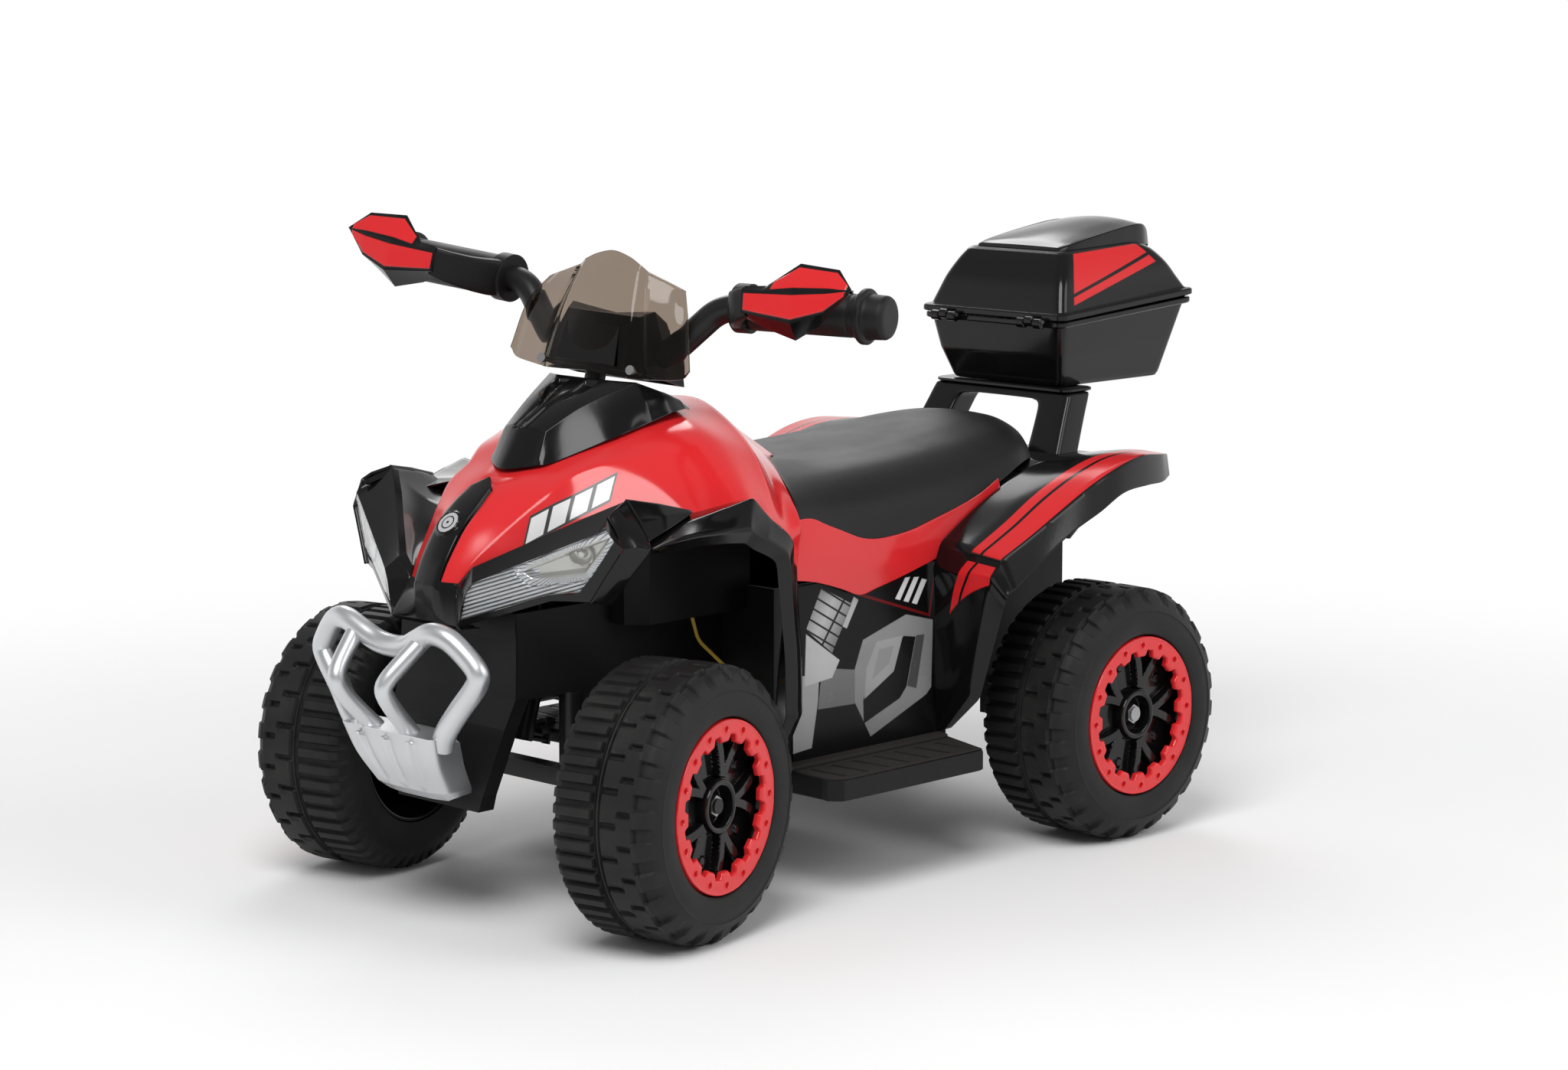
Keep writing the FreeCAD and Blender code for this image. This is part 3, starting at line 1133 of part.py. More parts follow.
FENDER_SHARES = (
    ((1.00, -2.66, 2.755), (1.155, -2.67, 2.78), (1.27, -2.76, 2.66), (1.36, -2.74, 2.50)),
    ((1.03, -2.56, 2.77), (1.165, -2.58, 2.79), (1.30, -2.66, 2.68), (1.42, -2.62, 2.50)),
    ((1.13, -2.32, 2.70), (1.25, -2.32, 2.735), (1.40, -2.32, 2.66), (1.50, -2.32, 2.52)),
    ((1.19, -2.04, 2.66), (1.30, -2.04, 2.695), (1.45, -2.04, 2.66), (1.56, -2.04, 2.54)),
    ((1.21, -1.60, 2.67), (1.35, -1.70, 2.735), (1.50, -1.75, 2.72), (1.60, -1.80, 2.56)),
    ((1.20, -1.33, 2.58), (1.35, -1.45, 2.62), (1.50, -1.50, 2.56), (1.58, -1.58, 2.44)),
    ((1.185, -1.14, 2.40), (1.35, -1.28, 2.43), (1.48, -1.41, 2.42), (1.53, -1.47, 2.32)),
    ((1.16, -1.10, 2.12), (1.30, -1.26, 2.14), (1.48, -1.40, 2.15), (1.51, -1.45, 2.10)),
    ((1.09, -1.14, 1.66), (1.28, -1.24, 1.66), (1.48, -1.33, 1.66), (1.50, -1.37, 1.64)),
    ((1.07, -1.16, 1.29), (1.26, -1.24, 1.29), (1.47, -1.32, 1.29), (1.49, -1.36, 1.28)),
    ((1.06, -1.17, 1.02), (1.15, -1.21, 0.98), (1.24, -1.26, 0.97), (1.26, -1.30, 0.97)),
)
lamp_face = [at(p) for p in LAMP_SHARES]
lens_loop = [at(p) for p in LENS_SHARES]
lens_out = (lens_loop[7] - lens_loop[2]).cross(lens_loop[5] - lens_loop[2]).normalize()
if lens_out.y > 0:
    lens_out = lens_out * -1.0
housing_depth = s.lamp_depth + 2 * s.shell_wall


def shifted(loop, distance, share=1.0):
    middle = sum(loop, ORIGIN) * (1.0 / len(loop))
    return [middle + (p - middle) * share - lens_out * distance for p in loop]


def cowl_shape():
    lamp = stack([lamp_face, shifted(lamp_face, housing_depth, 0.97)])
    recess = stack([shifted(lens_loop, -4 * s.shell_wall), shifted(lens_loop, s.lamp_depth + s.shell_wall, 0.9)])
    side = lamp.fuse(panel(table(FENDER_SHARES), -s.shell_wall)).cut(recess)
    nose_loops = []
    for line in NOSE_SHARES:
        left = [at(p) for p in line]
        nose_loops.append([left[0], left[1], left[2], left[3], flip(left[2]), flip(left[1])])
    return whole(stack(nose_loops).fuse([side, mirrored(side)]).cut([shell, hull, nodes["nose_strip"].Shape]))


cowl = cowl_shape()
print("cowl", len(cowl.Solids), round(cowl.Volume))
feature("front_cowl", cowl)
lens = stack([shifted(lens_loop, 0.0, 0.985), shifted(lens_loop, s.lens_thickness, 0.985)]).cut(cowl)
feature("headlamp_lenses", Part.makeCompound([whole(lens), mirrored(whole(lens))]))
bowl_back = shifted(lens_loop, s.lamp_depth + s.shell_wall - s.seat_gap, 0.88)
bowl_front = shifted(lens_loop, 3 * s.lens_thickness, 0.94)
bowl = stack([bowl_front, bowl_back])
hollow = stack([shifted(lens_loop, 2 * s.lens_thickness, 0.90), shifted(lens_loop, s.lamp_depth, 0.55)])
bowl = whole(bowl.cut(hollow).cut(cowl))
feature("headlamp_reflectors", Part.makeCompound([bowl, mirrored(bowl)]))

WIRE_SHARES = ((0.77, -1.63, 1.8855), (0.785, -1.59, 1.73), (0.88, -1.38, 1.50), (0.90, -1.156, 1.40))
feature("lamp_wire", pipe([at(p) for p in WIRE_SHARES], s.wire_bend_radius, s.wire_radius))

# Seat cushion: crowned top, sides drawn in, V-shaped front against the tank

SEAT_SHARES = (
    (-1.00, 1.08, 2.56, 0.80, 2.68, 2.76),
    (-0.60, 1.11, 2.385, 0.80, 2.68, 2.76),
    (-0.20, 1.11, 2.305, 0.78, 2.70, 2.765),
    (0.30, 1.10, 2.367, 0.74, 2.72, 2.785),
    (0.86, 1.06, 2.495, 0.71, 2.75, 2.83),
    (1.25, 1.00, 2.56, 0.68, 2.79, 2.88),
    (1.75, 0.86, 2.60, 0.62, 2.83, 2.916),
    (2.01, 0.62, 2.63, 0.50, 2.75, 2.80),
)
SEAT_FRONT_SHARES = ((0.0, -0.13), (0.24, -0.38), (0.46, -0.58), (0.76, -0.78), (0.98, -0.90), (1.12, -0.98),
                     (1.30, -0.99), (1.30, -1.40), (0.0, -1.40))


def seat_section(share):
    y, foot_x, foot_z, crease_x, crease_z, crown_z = share
    foot = at((foot_x, y, foot_z))
    crease = at((crease_x, y, crease_z))
    crown = at((0.0, y, crown_z))
    side_middle = (foot + crease) * 0.5 + Vector(0.1 * (foot.x - crease.x), 0, 0.22 * (crease.z - foot.z))
    edges = [Part.LineSegment(flip(foot), foot).toShape(), Part.Arc(foot, side_middle, crease).toShape(),
             Part.Arc(crease, crown, flip(crease)).toShape(),
             Part.Arc(flip(crease), flip(side_middle), flip(foot)).toShape()]
    return Part.Wire(edges)


def seat_shape():
    shape = Part.makeLoft([seat_section(share) for share in SEAT_SHARES], True, False)
    left = [at((x, y, 0.0)) for x, y in SEAT_FRONT_SHARES]
    loop = left[:-1] + [flip(p) for p in reversed(left[1:-1])]
    loop = [p + Y_AXIS * 2 * s.seat_gap for p in loop]
    tank = Part.Face(Part.makePolygon(loop + loop[:1])).extrude(Z_AXIS * s.grid_height * 4)
    return whole(shape.cut([tank, shell]))


seat = seat_shape()

# Rear fender: side wings over the wheels, deck behind the seat, tail wall and front mud legs

WING_SHARES = (
    ((1.10, 0.40, 2.14), (1.40, 0.39, 2.12), (1.63, 0.43, 2.09), (1.68, 0.47, 1.90)),
    ((1.10, 0.85, 2.38), (1.40, 0.85, 2.31), (1.64, 0.86, 2.26), (1.69, 0.86, 2.06)),
    ((1.08, 1.30, 2.56), (1.38, 1.30, 2.50), (1.65, 1.30, 2.44), (1.70, 1.30, 2.25)),
    ((1.04, 1.75, 2.62), (1.36, 1.75, 2.65), (1.65, 1.74, 2.62), (1.70, 1.72, 2.43)),
    ((1.04, 2.05, 2.62), (1.36, 2.05, 2.66), (1.64, 2.02, 2.62), (1.69, 2.00, 2.46)),
    ((1.04, 2.28, 2.62), (1.36, 2.32, 2.66), (1.60, 2.27, 2.61), (1.65, 2.22, 2.49)),
    ((1.04, 2.44, 2.62), (1.32, 2.44, 2.64), (1.50, 2.40, 2.61), (1.56, 2.36, 2.50)),
)
LEG_SHARES = (
    ((1.10, 0.38, 2.15), (1.40, 0.37, 2.12), (1.62, 0.41, 2.09), (1.675, 0.46, 1.94)),
    ((1.12, 0.41, 1.72), (1.32, 0.41, 1.78), (1.52, 0.44, 1.84), (1.58, 0.50, 1.82)),
    ((1.08, 0.42, 1.30), (1.24, 0.44, 1.40), (1.38, 0.47, 1.50), (1.43, 0.54, 1.50)),
    ((1.06, 0.46, 0.92), (1.10, 0.48, 0.96), (1.13, 0.50, 1.00), (1.15, 0.56, 1.02)),
)
DECK_SHARES = ((1.06, 1.50, 2.62), (1.06, 2.44, 2.62), (0.98, 2.50, 2.40), (0.62, 2.40, 1.95))


def fender_shape():
    wing = panel(table(WING_SHARES), -s.shell_wall)
    leg = panel(table(LEG_SHARES), s.shell_wall)
    deck_rows = [[at((x * share, y, z)) for share in (-1.0, -0.5, 0.0, 0.5, 1.0)] for x, y, z in DECK_SHARES]
    deck = panel(deck_rows, -s.shell_wall)
    shape = wing.fuse([leg, mirrored(wing), mirrored(leg), deck])
    return whole(shape.cut([shell, hull]))


fender = fender_shape()
print("fender", len(fender.Solids), round(fender.Volume))
deck_clear = block(at((-1.7, 1.49, 2.0)), at((1.7, 3.0, 2.62)) + Z_AXIS * s.seat_gap)
feature("seat", whole(seat.cut(deck_clear).cut(fender)))
feature("rear_fender", fender)

# Rear rack: an arch of two legs and a plate that carries the top case

RACK_SHARES = (((0.58, 0.70), (2.03, 2.47), 2.62), ((0.53, 0.64), (2.20, 2.52), 3.01),
               ((0.53, 0.64), (2.12, 2.56), 3.07))


def rack_shape():
    loops = []
    for (x_in, x_out), (y_front, y_back), z in RACK_SHARES[:2]:
        loops.append([at((x_in, y_front, z)), at((x_out, y_front, z)), at((x_out, y_back, z)),
                      at((x_in, y_back, z))])
    leg = stack(loops)
    (x_in, x_out), (y_front, y_back), top = RACK_SHARES[2]
    plate = block(at((-x_out, y_front, top)) - Z_AXIS * s.rack_plate, at((x_out, y_back, top)))
    return plate.fuse([leg, mirrored(leg)])


rack = rack_shape()
feature("rear_rack", whole(rack.cut(fender)))

# Top case: tapered base with a flange, domed lid on two hinges at the front, latch at the rear

CASE_BASE_SHARES = (
    ((0.526, 2.365, 3.07), (0.526, 3.52, 3.07)),
    ((0.60, 2.27, 3.30), (0.60, 3.61, 3.38)),
    ((0.645, 2.235, 3.53), (0.645, 3.69, 3.635)),
)
FLANGE_SHARES = ((0.685, 2.205, 3.53), (0.685, 3.72, 3.64))
LID_SHARES = (
    ((0.70, 2.187, 3.575), (0.70, 3.73, 3.69)),
    ((0.70, 2.187, 3.62), (0.70, 3.73, 3.735)),
    ((0.65, 2.24, 3.63), (0.65, 3.68, 3.74)),
    ((0.60, 2.32, 3.87), (0.56, 3.58, 3.92)),
    ((0.463, 2.468, 4.05), (0.44, 3.43, 4.085)),
    ((0.30, 2.56, 4.12), (0.27, 3.36, 4.255)),
)
corner_share = 0.12


def case_loop(front, back, inset, rise):
    """A rectangle with its corners cut, drawn in by an inset and moved up by a rise."""
    a, b = at(front), at(back)
    half = a.x - inset
    low = a + Vector(0, inset, rise)
    high = b + Vector(0, -inset, rise)
    trim = corner_share * half
    slope = (high.z - low.z) / (high.y - low.y)
    back_half = b.x - inset
    loop = [Vector(half, low.y + trim, low.z + slope * trim), Vector(back_half, high.y - trim,
                                                                    high.z - slope * trim),
            Vector(back_half - trim, high.y, high.z), Vector(-back_half + trim, high.y, high.z),
            Vector(-back_half, high.y - trim, high.z - slope * trim),
            Vector(-half, low.y + trim, low.z + slope * trim),
            Vector(-half + trim, low.y, low.z), Vector(half - trim, low.y, low.z)]
    return loop


def case_form(shares, inset, first_rise, last_rise):
    rises = [0.0] * len(shares)
    rises[0], rises[-1] = first_rise, last_rise
    return stack([case_loop(f, b, inset, rise) for (f, b), rise in zip(shares, rises)])


hinge_line = at((0.0, 2.155, 3.565))
latch_line = at((0.0, 3.775, 3.64))


def base_eyes():
    """Ends of the eyes on the hinge line that belong to the base."""
    half = s.hinge_lug_width / 2 - s.seat_gap
    ends = []
    for sign in SIDES.values():
        for edge in (-1.0, 1.0):
            middle = hinge_line + X_AXIS * (sign * s.hinge_offset + edge * s.hinge_lug_width)
            ends.append((middle - X_AXIS * half, middle + X_AXIS * half))
    return ends


def case_base_shape():
    shape = case_form(CASE_BASE_SHARES, 0.0, 0.0, 0.0)
    flange = stack([case_loop(FLANGE_SHARES[0], FLANGE_SHARES[1], 0.0, -s.flange_thickness / 2),
                    case_loop(FLANGE_SHARES[0], FLANGE_SHARES[1], 0.0, s.flange_thickness / 2 - s.lid_gap)])
    hollow = case_form(CASE_BASE_SHARES, s.case_skin, s.case_skin, 4 * s.overrun)
    parts = [flange]
    low_web = s.hinge_lug_radius / 2
    for low, high in base_eyes():
        web = block(low - Vector(0, low_web, 2 * s.hinge_lug_radius),
                    Vector(high.x, at(FLANGE_SHARES[0]).y + s.overrun, hinge_line.z - low_web))
        parts += [rod(low, high, s.hinge_lug_radius), web]
    for sign in SIDES.values():
        middle = sign * (s.latch_width / 2 + s.seat_gap + s.latch_thickness)
        half = s.latch_thickness
        eye_radius = 2 * s.latch_pin_radius
        eye = rod(latch_line + X_AXIS * (middle - half), latch_line + X_AXIS * (middle + half), eye_radius)
        web = block(Vector(middle - half, at(FLANGE_SHARES[1]).y - s.overrun, latch_line.z - eye_radius),
                    Vector(middle + half, latch_line.y, latch_line.z + s.latch_pin_radius))
        parts += [eye, web]
    shape = shape.fuse(parts).cut(hollow)
    holes = [rod(hinge_line - X_AXIS * s.half_track, hinge_line + X_AXIS * s.half_track, s.hinge_pin_radius),
             rod(latch_line - X_AXIS * s.half_track, latch_line + X_AXIS * s.half_track,
                 s.latch_pin_radius + s.running_gap)]
    return whole(shape.cut(holes))


def lid_shape():
    shape = case_form(LID_SHARES, 0.0, 0.0, 0.0)
    inner_table = ((LID_SHARES[0][0], LID_SHARES[0][1]),) + LID_SHARES[2:]
    inner = [case_loop(f, b, s.case_skin if index else s.case_skin + 2 * s.overrun,
                       -s.case_skin if index else -s.overrun) for index, (f, b) in enumerate(inner_table)]
    eye_gap = X_AXIS * s.seat_gap
    eye_room = [rod(low - eye_gap, high + eye_gap, s.hinge_lug_radius + s.seat_gap) for low, high in base_eyes()]
    shape = shape.cut([stack(inner)] + eye_room)
    for sign in SIDES.values():
        middle = sign * s.hinge_offset
        half = s.hinge_lug_width / 2 - s.seat_gap
        eye = rod(hinge_line + X_AXIS * (middle - half), hinge_line + X_AXIS * (middle + half),
                  s.hinge_lug_radius)
        web = block(Vector(middle - half, hinge_line.y, hinge_line.z + s.hinge_pin_radius),
                    Vector(middle + half, at(LID_SHARES[0][0]).y + 2 * s.overrun,
                           hinge_line.z + s.hinge_lug_radius + s.overrun))
        shape = shape.fuse([eye, web])
    bore = s.hinge_pin_radius + s.running_gap
    return whole(shape.cut(rod(hinge_line - X_AXIS * s.half_track, hinge_line + X_AXIS * s.half_track, bore)))


feature("top_case_base", case_base_shape())
feature("top_case_lid", lid_shape())
pins = []
for side, sign in SIDES.items():
    start = hinge_line + X_AXIS * (sign * s.hinge_offset - 1.5 * s.hinge_lug_width)
    pins.append(cylinder("lid_pin_" + side, "Sizes.hinge_pin_radius", "3 * Sizes.hinge_lug_width",
                         Placement(start, Rotation(Y_AXIS, QUARTER_TURN))))
keep(fused("lid_hinge_pins", pins), "lid_hinge_pins")


def latch_shape():
    half = s.latch_width / 2
    low = Vector(-half, -s.latch_thickness / 2, -s.latch_pin_radius)
    plate = block(low, Vector(half, s.latch_thickness / 2, s.latch_height))
    pin = rod(Vector(-half - 2 * s.latch_thickness, 0, 0), Vector(half + 2 * s.latch_thickness, 0, 0),
              s.latch_pin_radius)
    return plate.fuse(pin)


feature("case_latch", latch_shape(), Placement(latch_line, Rotation()))

# Front bumper: one bent tube with two inner legs over a ribbed plate, bolted to the apron

BUMPER_SHARES = ((0.44, -3.46, 1.14), (0.47, -3.51, 1.32), (0.80, -3.49, 1.735), (0.46, -3.585, 2.01),
                 (0.0, -3.53, 1.83))
BUMPER_LEG_SHARES = ((0.40, -3.585, 1.97), (0.13, -3.68, 1.62), (0.29, -3.63, 1.31), (0.29, -3.60, 1.18))
PLATE_SHARES = ((0.45, -3.64, 1.305), (0.44, -3.56, 1.05), (0.41, -3.36, 0.84))


def bumper_shape():
    half = [at(p) for p in BUMPER_SHARES]
    loop = pipe(half + [flip(p) for p in reversed(half[:-1])], s.bumper_bend_radius, s.bumper_tube_radius)
    leg = pipe([at(p) for p in BUMPER_LEG_SHARES], s.bumper_bend_radius, s.bumper_tube_radius)
    plate_rows = [[at((x * share, y, z)) for share in (-1.0, -0.4, 0.4, 1.0)] for x, y, z in PLATE_SHARES]
    plate = panel(plate_rows, -s.plate_thickness)
    shape = plate.fuse([loop, leg, mirrored(leg)])
    for share in (-0.6, 0.0, 0.6):
        rib_rows = [[at((x * share - 0.03, y - 0.03, z)), at((x * share + 0.03, y - 0.03, z))]
                    for x, y, z in PLATE_SHARES]
        shape = shape.fuse(panel(rib_rows, -s.plate_thickness))
    tongue = block(at((-0.40, -3.40, 0.86)), at((0.40, -3.10, 0.94)))
    return whole(shape.fuse(tongue).cut(hull))


feature("front_bumper", bumper_shape())

# Hand-over: every piece checked, then written to its own file

doc.recompute()
for obj in doc.Objects:
    if "Invalid" in obj.State or "Error" in obj.State:
        raise RuntimeError(obj.Name + " did not build")
os.makedirs("parts", exist_ok=True)
faulty = [name for name, obj in nodes.items() if obj.Shape.isNull() or not obj.Shape.isValid()]
for name, obj in nodes.items():
    obj.Shape.exportStep("parts/" + name + ".step")
if faulty:
    raise RuntimeError("no valid shape: " + ", ".join(faulty))
print("pieces", len(nodes))
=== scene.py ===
import bpy
import json
import math
import numpy as np
from mathutils import Matrix

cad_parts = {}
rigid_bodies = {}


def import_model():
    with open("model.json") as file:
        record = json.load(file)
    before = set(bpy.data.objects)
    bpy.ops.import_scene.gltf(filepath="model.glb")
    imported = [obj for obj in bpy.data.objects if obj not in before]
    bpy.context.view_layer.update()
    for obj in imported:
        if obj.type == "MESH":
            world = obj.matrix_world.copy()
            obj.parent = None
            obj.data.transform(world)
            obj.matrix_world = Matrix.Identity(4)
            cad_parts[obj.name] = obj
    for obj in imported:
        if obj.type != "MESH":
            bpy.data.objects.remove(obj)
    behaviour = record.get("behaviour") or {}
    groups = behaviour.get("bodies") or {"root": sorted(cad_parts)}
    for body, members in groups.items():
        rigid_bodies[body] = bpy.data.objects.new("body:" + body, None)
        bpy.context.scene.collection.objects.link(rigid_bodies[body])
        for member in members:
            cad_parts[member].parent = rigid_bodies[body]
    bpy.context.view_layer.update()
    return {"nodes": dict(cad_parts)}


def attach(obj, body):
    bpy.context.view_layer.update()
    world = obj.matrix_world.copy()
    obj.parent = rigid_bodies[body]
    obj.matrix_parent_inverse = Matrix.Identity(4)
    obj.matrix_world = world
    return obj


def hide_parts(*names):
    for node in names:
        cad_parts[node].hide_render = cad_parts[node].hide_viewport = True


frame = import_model()
mm = 0.001
fullTurn = 2 * np.pi

# camera, floor and light

view = {"position": (1.856897, -1.885737, 0.624399), "azimuth": 44.5305, "elevation": 8.7405, "roll": 0.0115,
        "lens": 87.364, "sensor": 36.0, "clip": 50.0}
lamps = {
    # place, aim, size and power
    "keyLamp": ((0.9, -1.5, 2.3), (0.0, 0.0, 0.25), 1.6, 46.0),
    "fillLamp": ((2.1, 0.7, 1.5), (0.0, 0.0, 0.2), 1.5, 15.0),
    "rimLamp": ((-1.6, 1.2, 1.8), (0.0, 0.0, 0.3), 1.4, 16.0),
}
# levels of the room; the soft edges of its dim front and of its ceiling, each as middle and half width
room = {"level": 0.86, "front": 0.28, "ceiling": 0.34, "frontEdge": (0.20, 0.45), "ceilingEdge": (0.42, 0.22)}
floor = {"rings": (1.0, 300.0, 700.0, 1500.0, 6000.0, 20000.0), "around": 96, "height": -0.4, "chalk": 0.97,
         "whiteEdge": (0.86, 0.40)}


def unit(vector):
    return np.asarray(vector, float) / np.linalg.norm(vector)


def around(count):
    return np.linspace(0.0, fullTurn, count, endpoint=False)


def newObject(name, data):
    obj = bpy.data.objects.new(name, data)
    bpy.context.collection.objects.link(obj)
    return obj


def stand(obj, right, back, place):
    # the object's own axes and its place are the columns of its matrix
    m = np.eye(4)
    m[:3] = np.stack([right, np.cross(back, right), back, place], -1)
    obj.matrix_world = Matrix(m.tolist())


def towardsViewer():
    a, e = math.radians(view["azimuth"]), math.radians(view["elevation"])
    return np.array([math.sin(a) * math.cos(e), -math.cos(a) * math.cos(e), math.sin(e)])


def addCamera():
    data = bpy.data.cameras.new("photoCamera")
    data.sensor_fit = "HORIZONTAL"
    data.sensor_width, data.lens, data.clip_end = view["sensor"], view["lens"], view["clip"]
    obj = newObject("photoCamera", data)
    a, roll = math.radians(view["azimuth"]), math.radians(view["roll"])
    back, level = towardsViewer(), np.array([math.cos(a), math.sin(a), 0.0])
    stand(obj, level * math.cos(roll) + np.cross(back, level) * math.sin(roll), back, view["position"])
    bpy.context.scene.camera = obj


def addLamp(name, place, aim, size, power):
    data = bpy.data.lights.new(name, "AREA")
    data.shape, data.size, data.energy = "DISK", size, power
    back = unit(np.array(place) - np.array(aim))
    stand(newObject(name, data), unit(np.cross([0.0, 0.0, 1.0], back)), back, place)


# shader expressions

class Wire:
    # one socket of a node tree; operators add Math nodes, make adds any other node

    def __init__(self, tree, socket):
        self.tree = tree
        self.socket = socket

    def make(self, kind, out=0, settings=None, **values):
        # inputs go by name, or by number as i0, i1 and so on
        node = self.tree.nodes.new(kind)
        for key, value in (settings or {}).items():
            setattr(node, key, value)
        for key, value in values.items():
            slot = node.inputs[int(key[1:]) if key[0] == "i" and key[1:].isdigit() else key]
            if isinstance(value, Wire):
                value.feed(slot)
            else:
                slot.default_value = value
        return Wire(self.tree, node.outputs[out])

    def feed(self, slot):
        self.tree.links.new(self.socket, slot)

    def maths(self, operation, a, b=0.0):
        return self.make("ShaderNodeMath", settings={"operation": operation}, i0=a, i1=b)

    def __add__(self, other):
        return self.maths("ADD", self, other)

    __radd__ = __add__

    def __sub__(self, other):
        return self.maths("SUBTRACT", self, other)

    def __rsub__(self, other):
        return self.maths("SUBTRACT", other, self)

    def __mul__(self, other):
        return self.maths("MULTIPLY", self, other)

    def __truediv__(self, other):
        return self.maths("DIVIDE", self, other)

    def __abs__(self):
        return self.maths("ABSOLUTE", self)

    def above(self, edge, soft):
        # 0 below the edge and 1 above it, over a soft width
        return self.make("ShaderNodeMapRange", settings={"interpolation_type": "SMOOTHSTEP"}, i0=self,
                         i1=edge - soft, i2=edge + soft, i3=0.0, i4=1.0)

    def between(self, low, high, soft):
        return self.above(low, soft) * (1.0 - self.above(high, soft))

    def mix(self, a, b):
        # this value blends colour a into colour b
        return self.make("ShaderNodeMix", out=2, settings={"data_type": "RGBA"}, i0=self, i6=a, i7=b)

    def part(self, index):
        return self.make("ShaderNodeSeparateXYZ", out=index, i0=self)

    def vector(self, operation, other=(0.0, 0.0, 0.0)):
        # the vector operations that give one value
        return self.make("ShaderNodeVectorMath", out=1, settings={"operation": operation}, i0=self, i1=other)


def rgba(colour):
    return tuple(colour) + (1.0,)


def grey(level):
    return rgba((level,) * 3)


def noise(place, scale, detail=3.0, rough=0.5):
    return place.make("ShaderNodeTexNoise", Vector=place, Scale=scale, Detail=detail, Roughness=rough)


def newFinish(name):
    mat = bpy.data.materials.new(name)
    mat.use_nodes = True
    start = Wire(mat.node_tree, None)
    return mat, mat.node_tree.nodes["Principled BSDF"].inputs, start, start.make("ShaderNodeTexCoord", out=3)


finishes = {
    # slot, base colour, roughness and its spread, grain per metre and its depth, metallic, coat, shine
    "redGloss": ("red_gloss", (0.70, 0.022, 0.026), 0.16, 0.05, 260, 4e-5, 0.0, 0.12, 0.42),
    "blackGloss": ("black_gloss", (0.0045, 0.0045, 0.0048), 0.14, 0.05, 240, 4e-5, 0.0, 0.06, 0.30),
    "panelSatin": ("black_gloss", (0.0045, 0.0045, 0.0048), 0.26, 0.05, 240, 4e-5, 0.0, 0.0, 0.15),
    "blackMatte": ("black_matte", (0.0085, 0.0085, 0.009), 0.46, 0.10, 1500, 1e-4, 0.0, 0.0, 0.18),
    "seatGrain": ("seat_cover", (0.0095, 0.0095, 0.0098), 0.48, 0.08, 1000, 2.6e-4, 0.0, 0.0, 0.27),
    "treadGrain": ("black_matte", (0.026, 0.0232, 0.0212), 0.78, 0.10, 900, 3.5e-4, 0.0, 0.0, 0.20),
    "tyreBlack": ("tyre_black", (0.0115, 0.0115, 0.0115), 0.55, 0.12, 700, 1.2e-4, 0.0, 0.0, 0.25),
    "silverPaint": ("silver_paint", (0.62, 0.63, 0.645), 0.36, 0.05, 900, 4e-5, 0.86, 0.2, 0.5),
    "bareSteel": ("bare_steel", (0.36, 0.36, 0.37), 0.36, 0.16, 420, 5e-5, 0.95, 0.0, 0.5),
    "darkSteel": ("bare_steel", (0.009, 0.009, 0.0095), 0.34, 0.10, 600, 6e-5, 0.0, 0.0, 0.30),
    "brightPlate": ("bright_plate", (0.84, 0.84, 0.85), 0.20, 0.08, 300, 3e-5, 0.45, 0.0, 0.5),
    "nylon": ("gear_nylon", (0.62, 0.60, 0.53), 0.44, 0.08, 500, 5e-5, 0.0, 0.0, 0.5),
    "gripRubber": ("grip_rubber", (0.010, 0.010, 0.010), 0.50, 0.10, 1400, 1e-4, 0.0, 0.0, 0.25),
    "leadYellow": ("lead_yellow", (0.55, 0.36, 0.03), 0.42, 0.08, 800, 4e-5, 0.0, 0.0, 0.5),
    "cellGrey": ("cell_grey", (0.06, 0.065, 0.075), 0.5, 0.1, 900, 8e-5, 0.0, 0.0, 0.5),
    "buttonRed": ("button_red", (0.50, 0.02, 0.02), 0.28, 0.06, 500, 4e-5, 0.0, 0.1, 0.5),
}
clouds = {"scale": 34.0, "drift": 9.0, "lift": 1.16, "floor": 0.0006, "coatRough": 0.06, "bump": 0.55}
printRed = rgba(finishes["redGloss"][1])
plain, slots = {}, {}


def basicFinish(name, paint=None, kind=None):
    # moulded or painted surface: cloudy roughness, faint shade drift, fine grain bump, optional painted areas
    slots[name], base, rough, spreadOf, grain, depth, metal, coat, shine = finishes[kind or name]
    plain[name], inputs, start, place = newFinish(name)
    pale = tuple(c * clouds["lift"] + clouds["floor"] for c in base)
    colour = (noise(place, clouds["drift"], 2.0) * 0.9).mix(rgba(base), rgba(pale))
    rough = rough + (noise(place, clouds["scale"], 4.0) - 0.5) * (2.0 * spreadOf)
    if paint:
        colour, rough = paint(start, place, colour, rough)
    colour.feed(inputs["Base Color"])
    rough.feed(inputs["Roughness"])
    inputs["Metallic"].default_value = metal
    inputs["Specular IOR Level"].default_value = shine
    inputs["Coat Weight"].default_value = coat
    inputs["Coat Roughness"].default_value = clouds["coatRough"]
    height = noise(place, grain, 2.0, 0.55)
    bump = place.make("ShaderNodeBump", Strength=clouds["bump"], Distance=depth, Height=height)
    bump.feed(inputs["Normal"])


def clearFinish(name, slot, tint, rough):
    # see-through moulding: tinted transmission with faint haze clouds
    slots[name] = slot
    plain[name], inputs, _, place = newFinish(name)
    (rough + (noise(place, 60.0) - 0.5) * 0.04).feed(inputs["Roughness"])
    inputs["Base Color"].default_value = rgba(tint)
    inputs["Transmission Weight"].default_value = 1.0
    inputs["IOR"].default_value = 1.35


def inMillimetres(place):
    # distance from the middle plane, length and height
    return abs(place.part(0)) * 1000.0, place.part(1) * 1000.0, place.part(2) * 1000.0


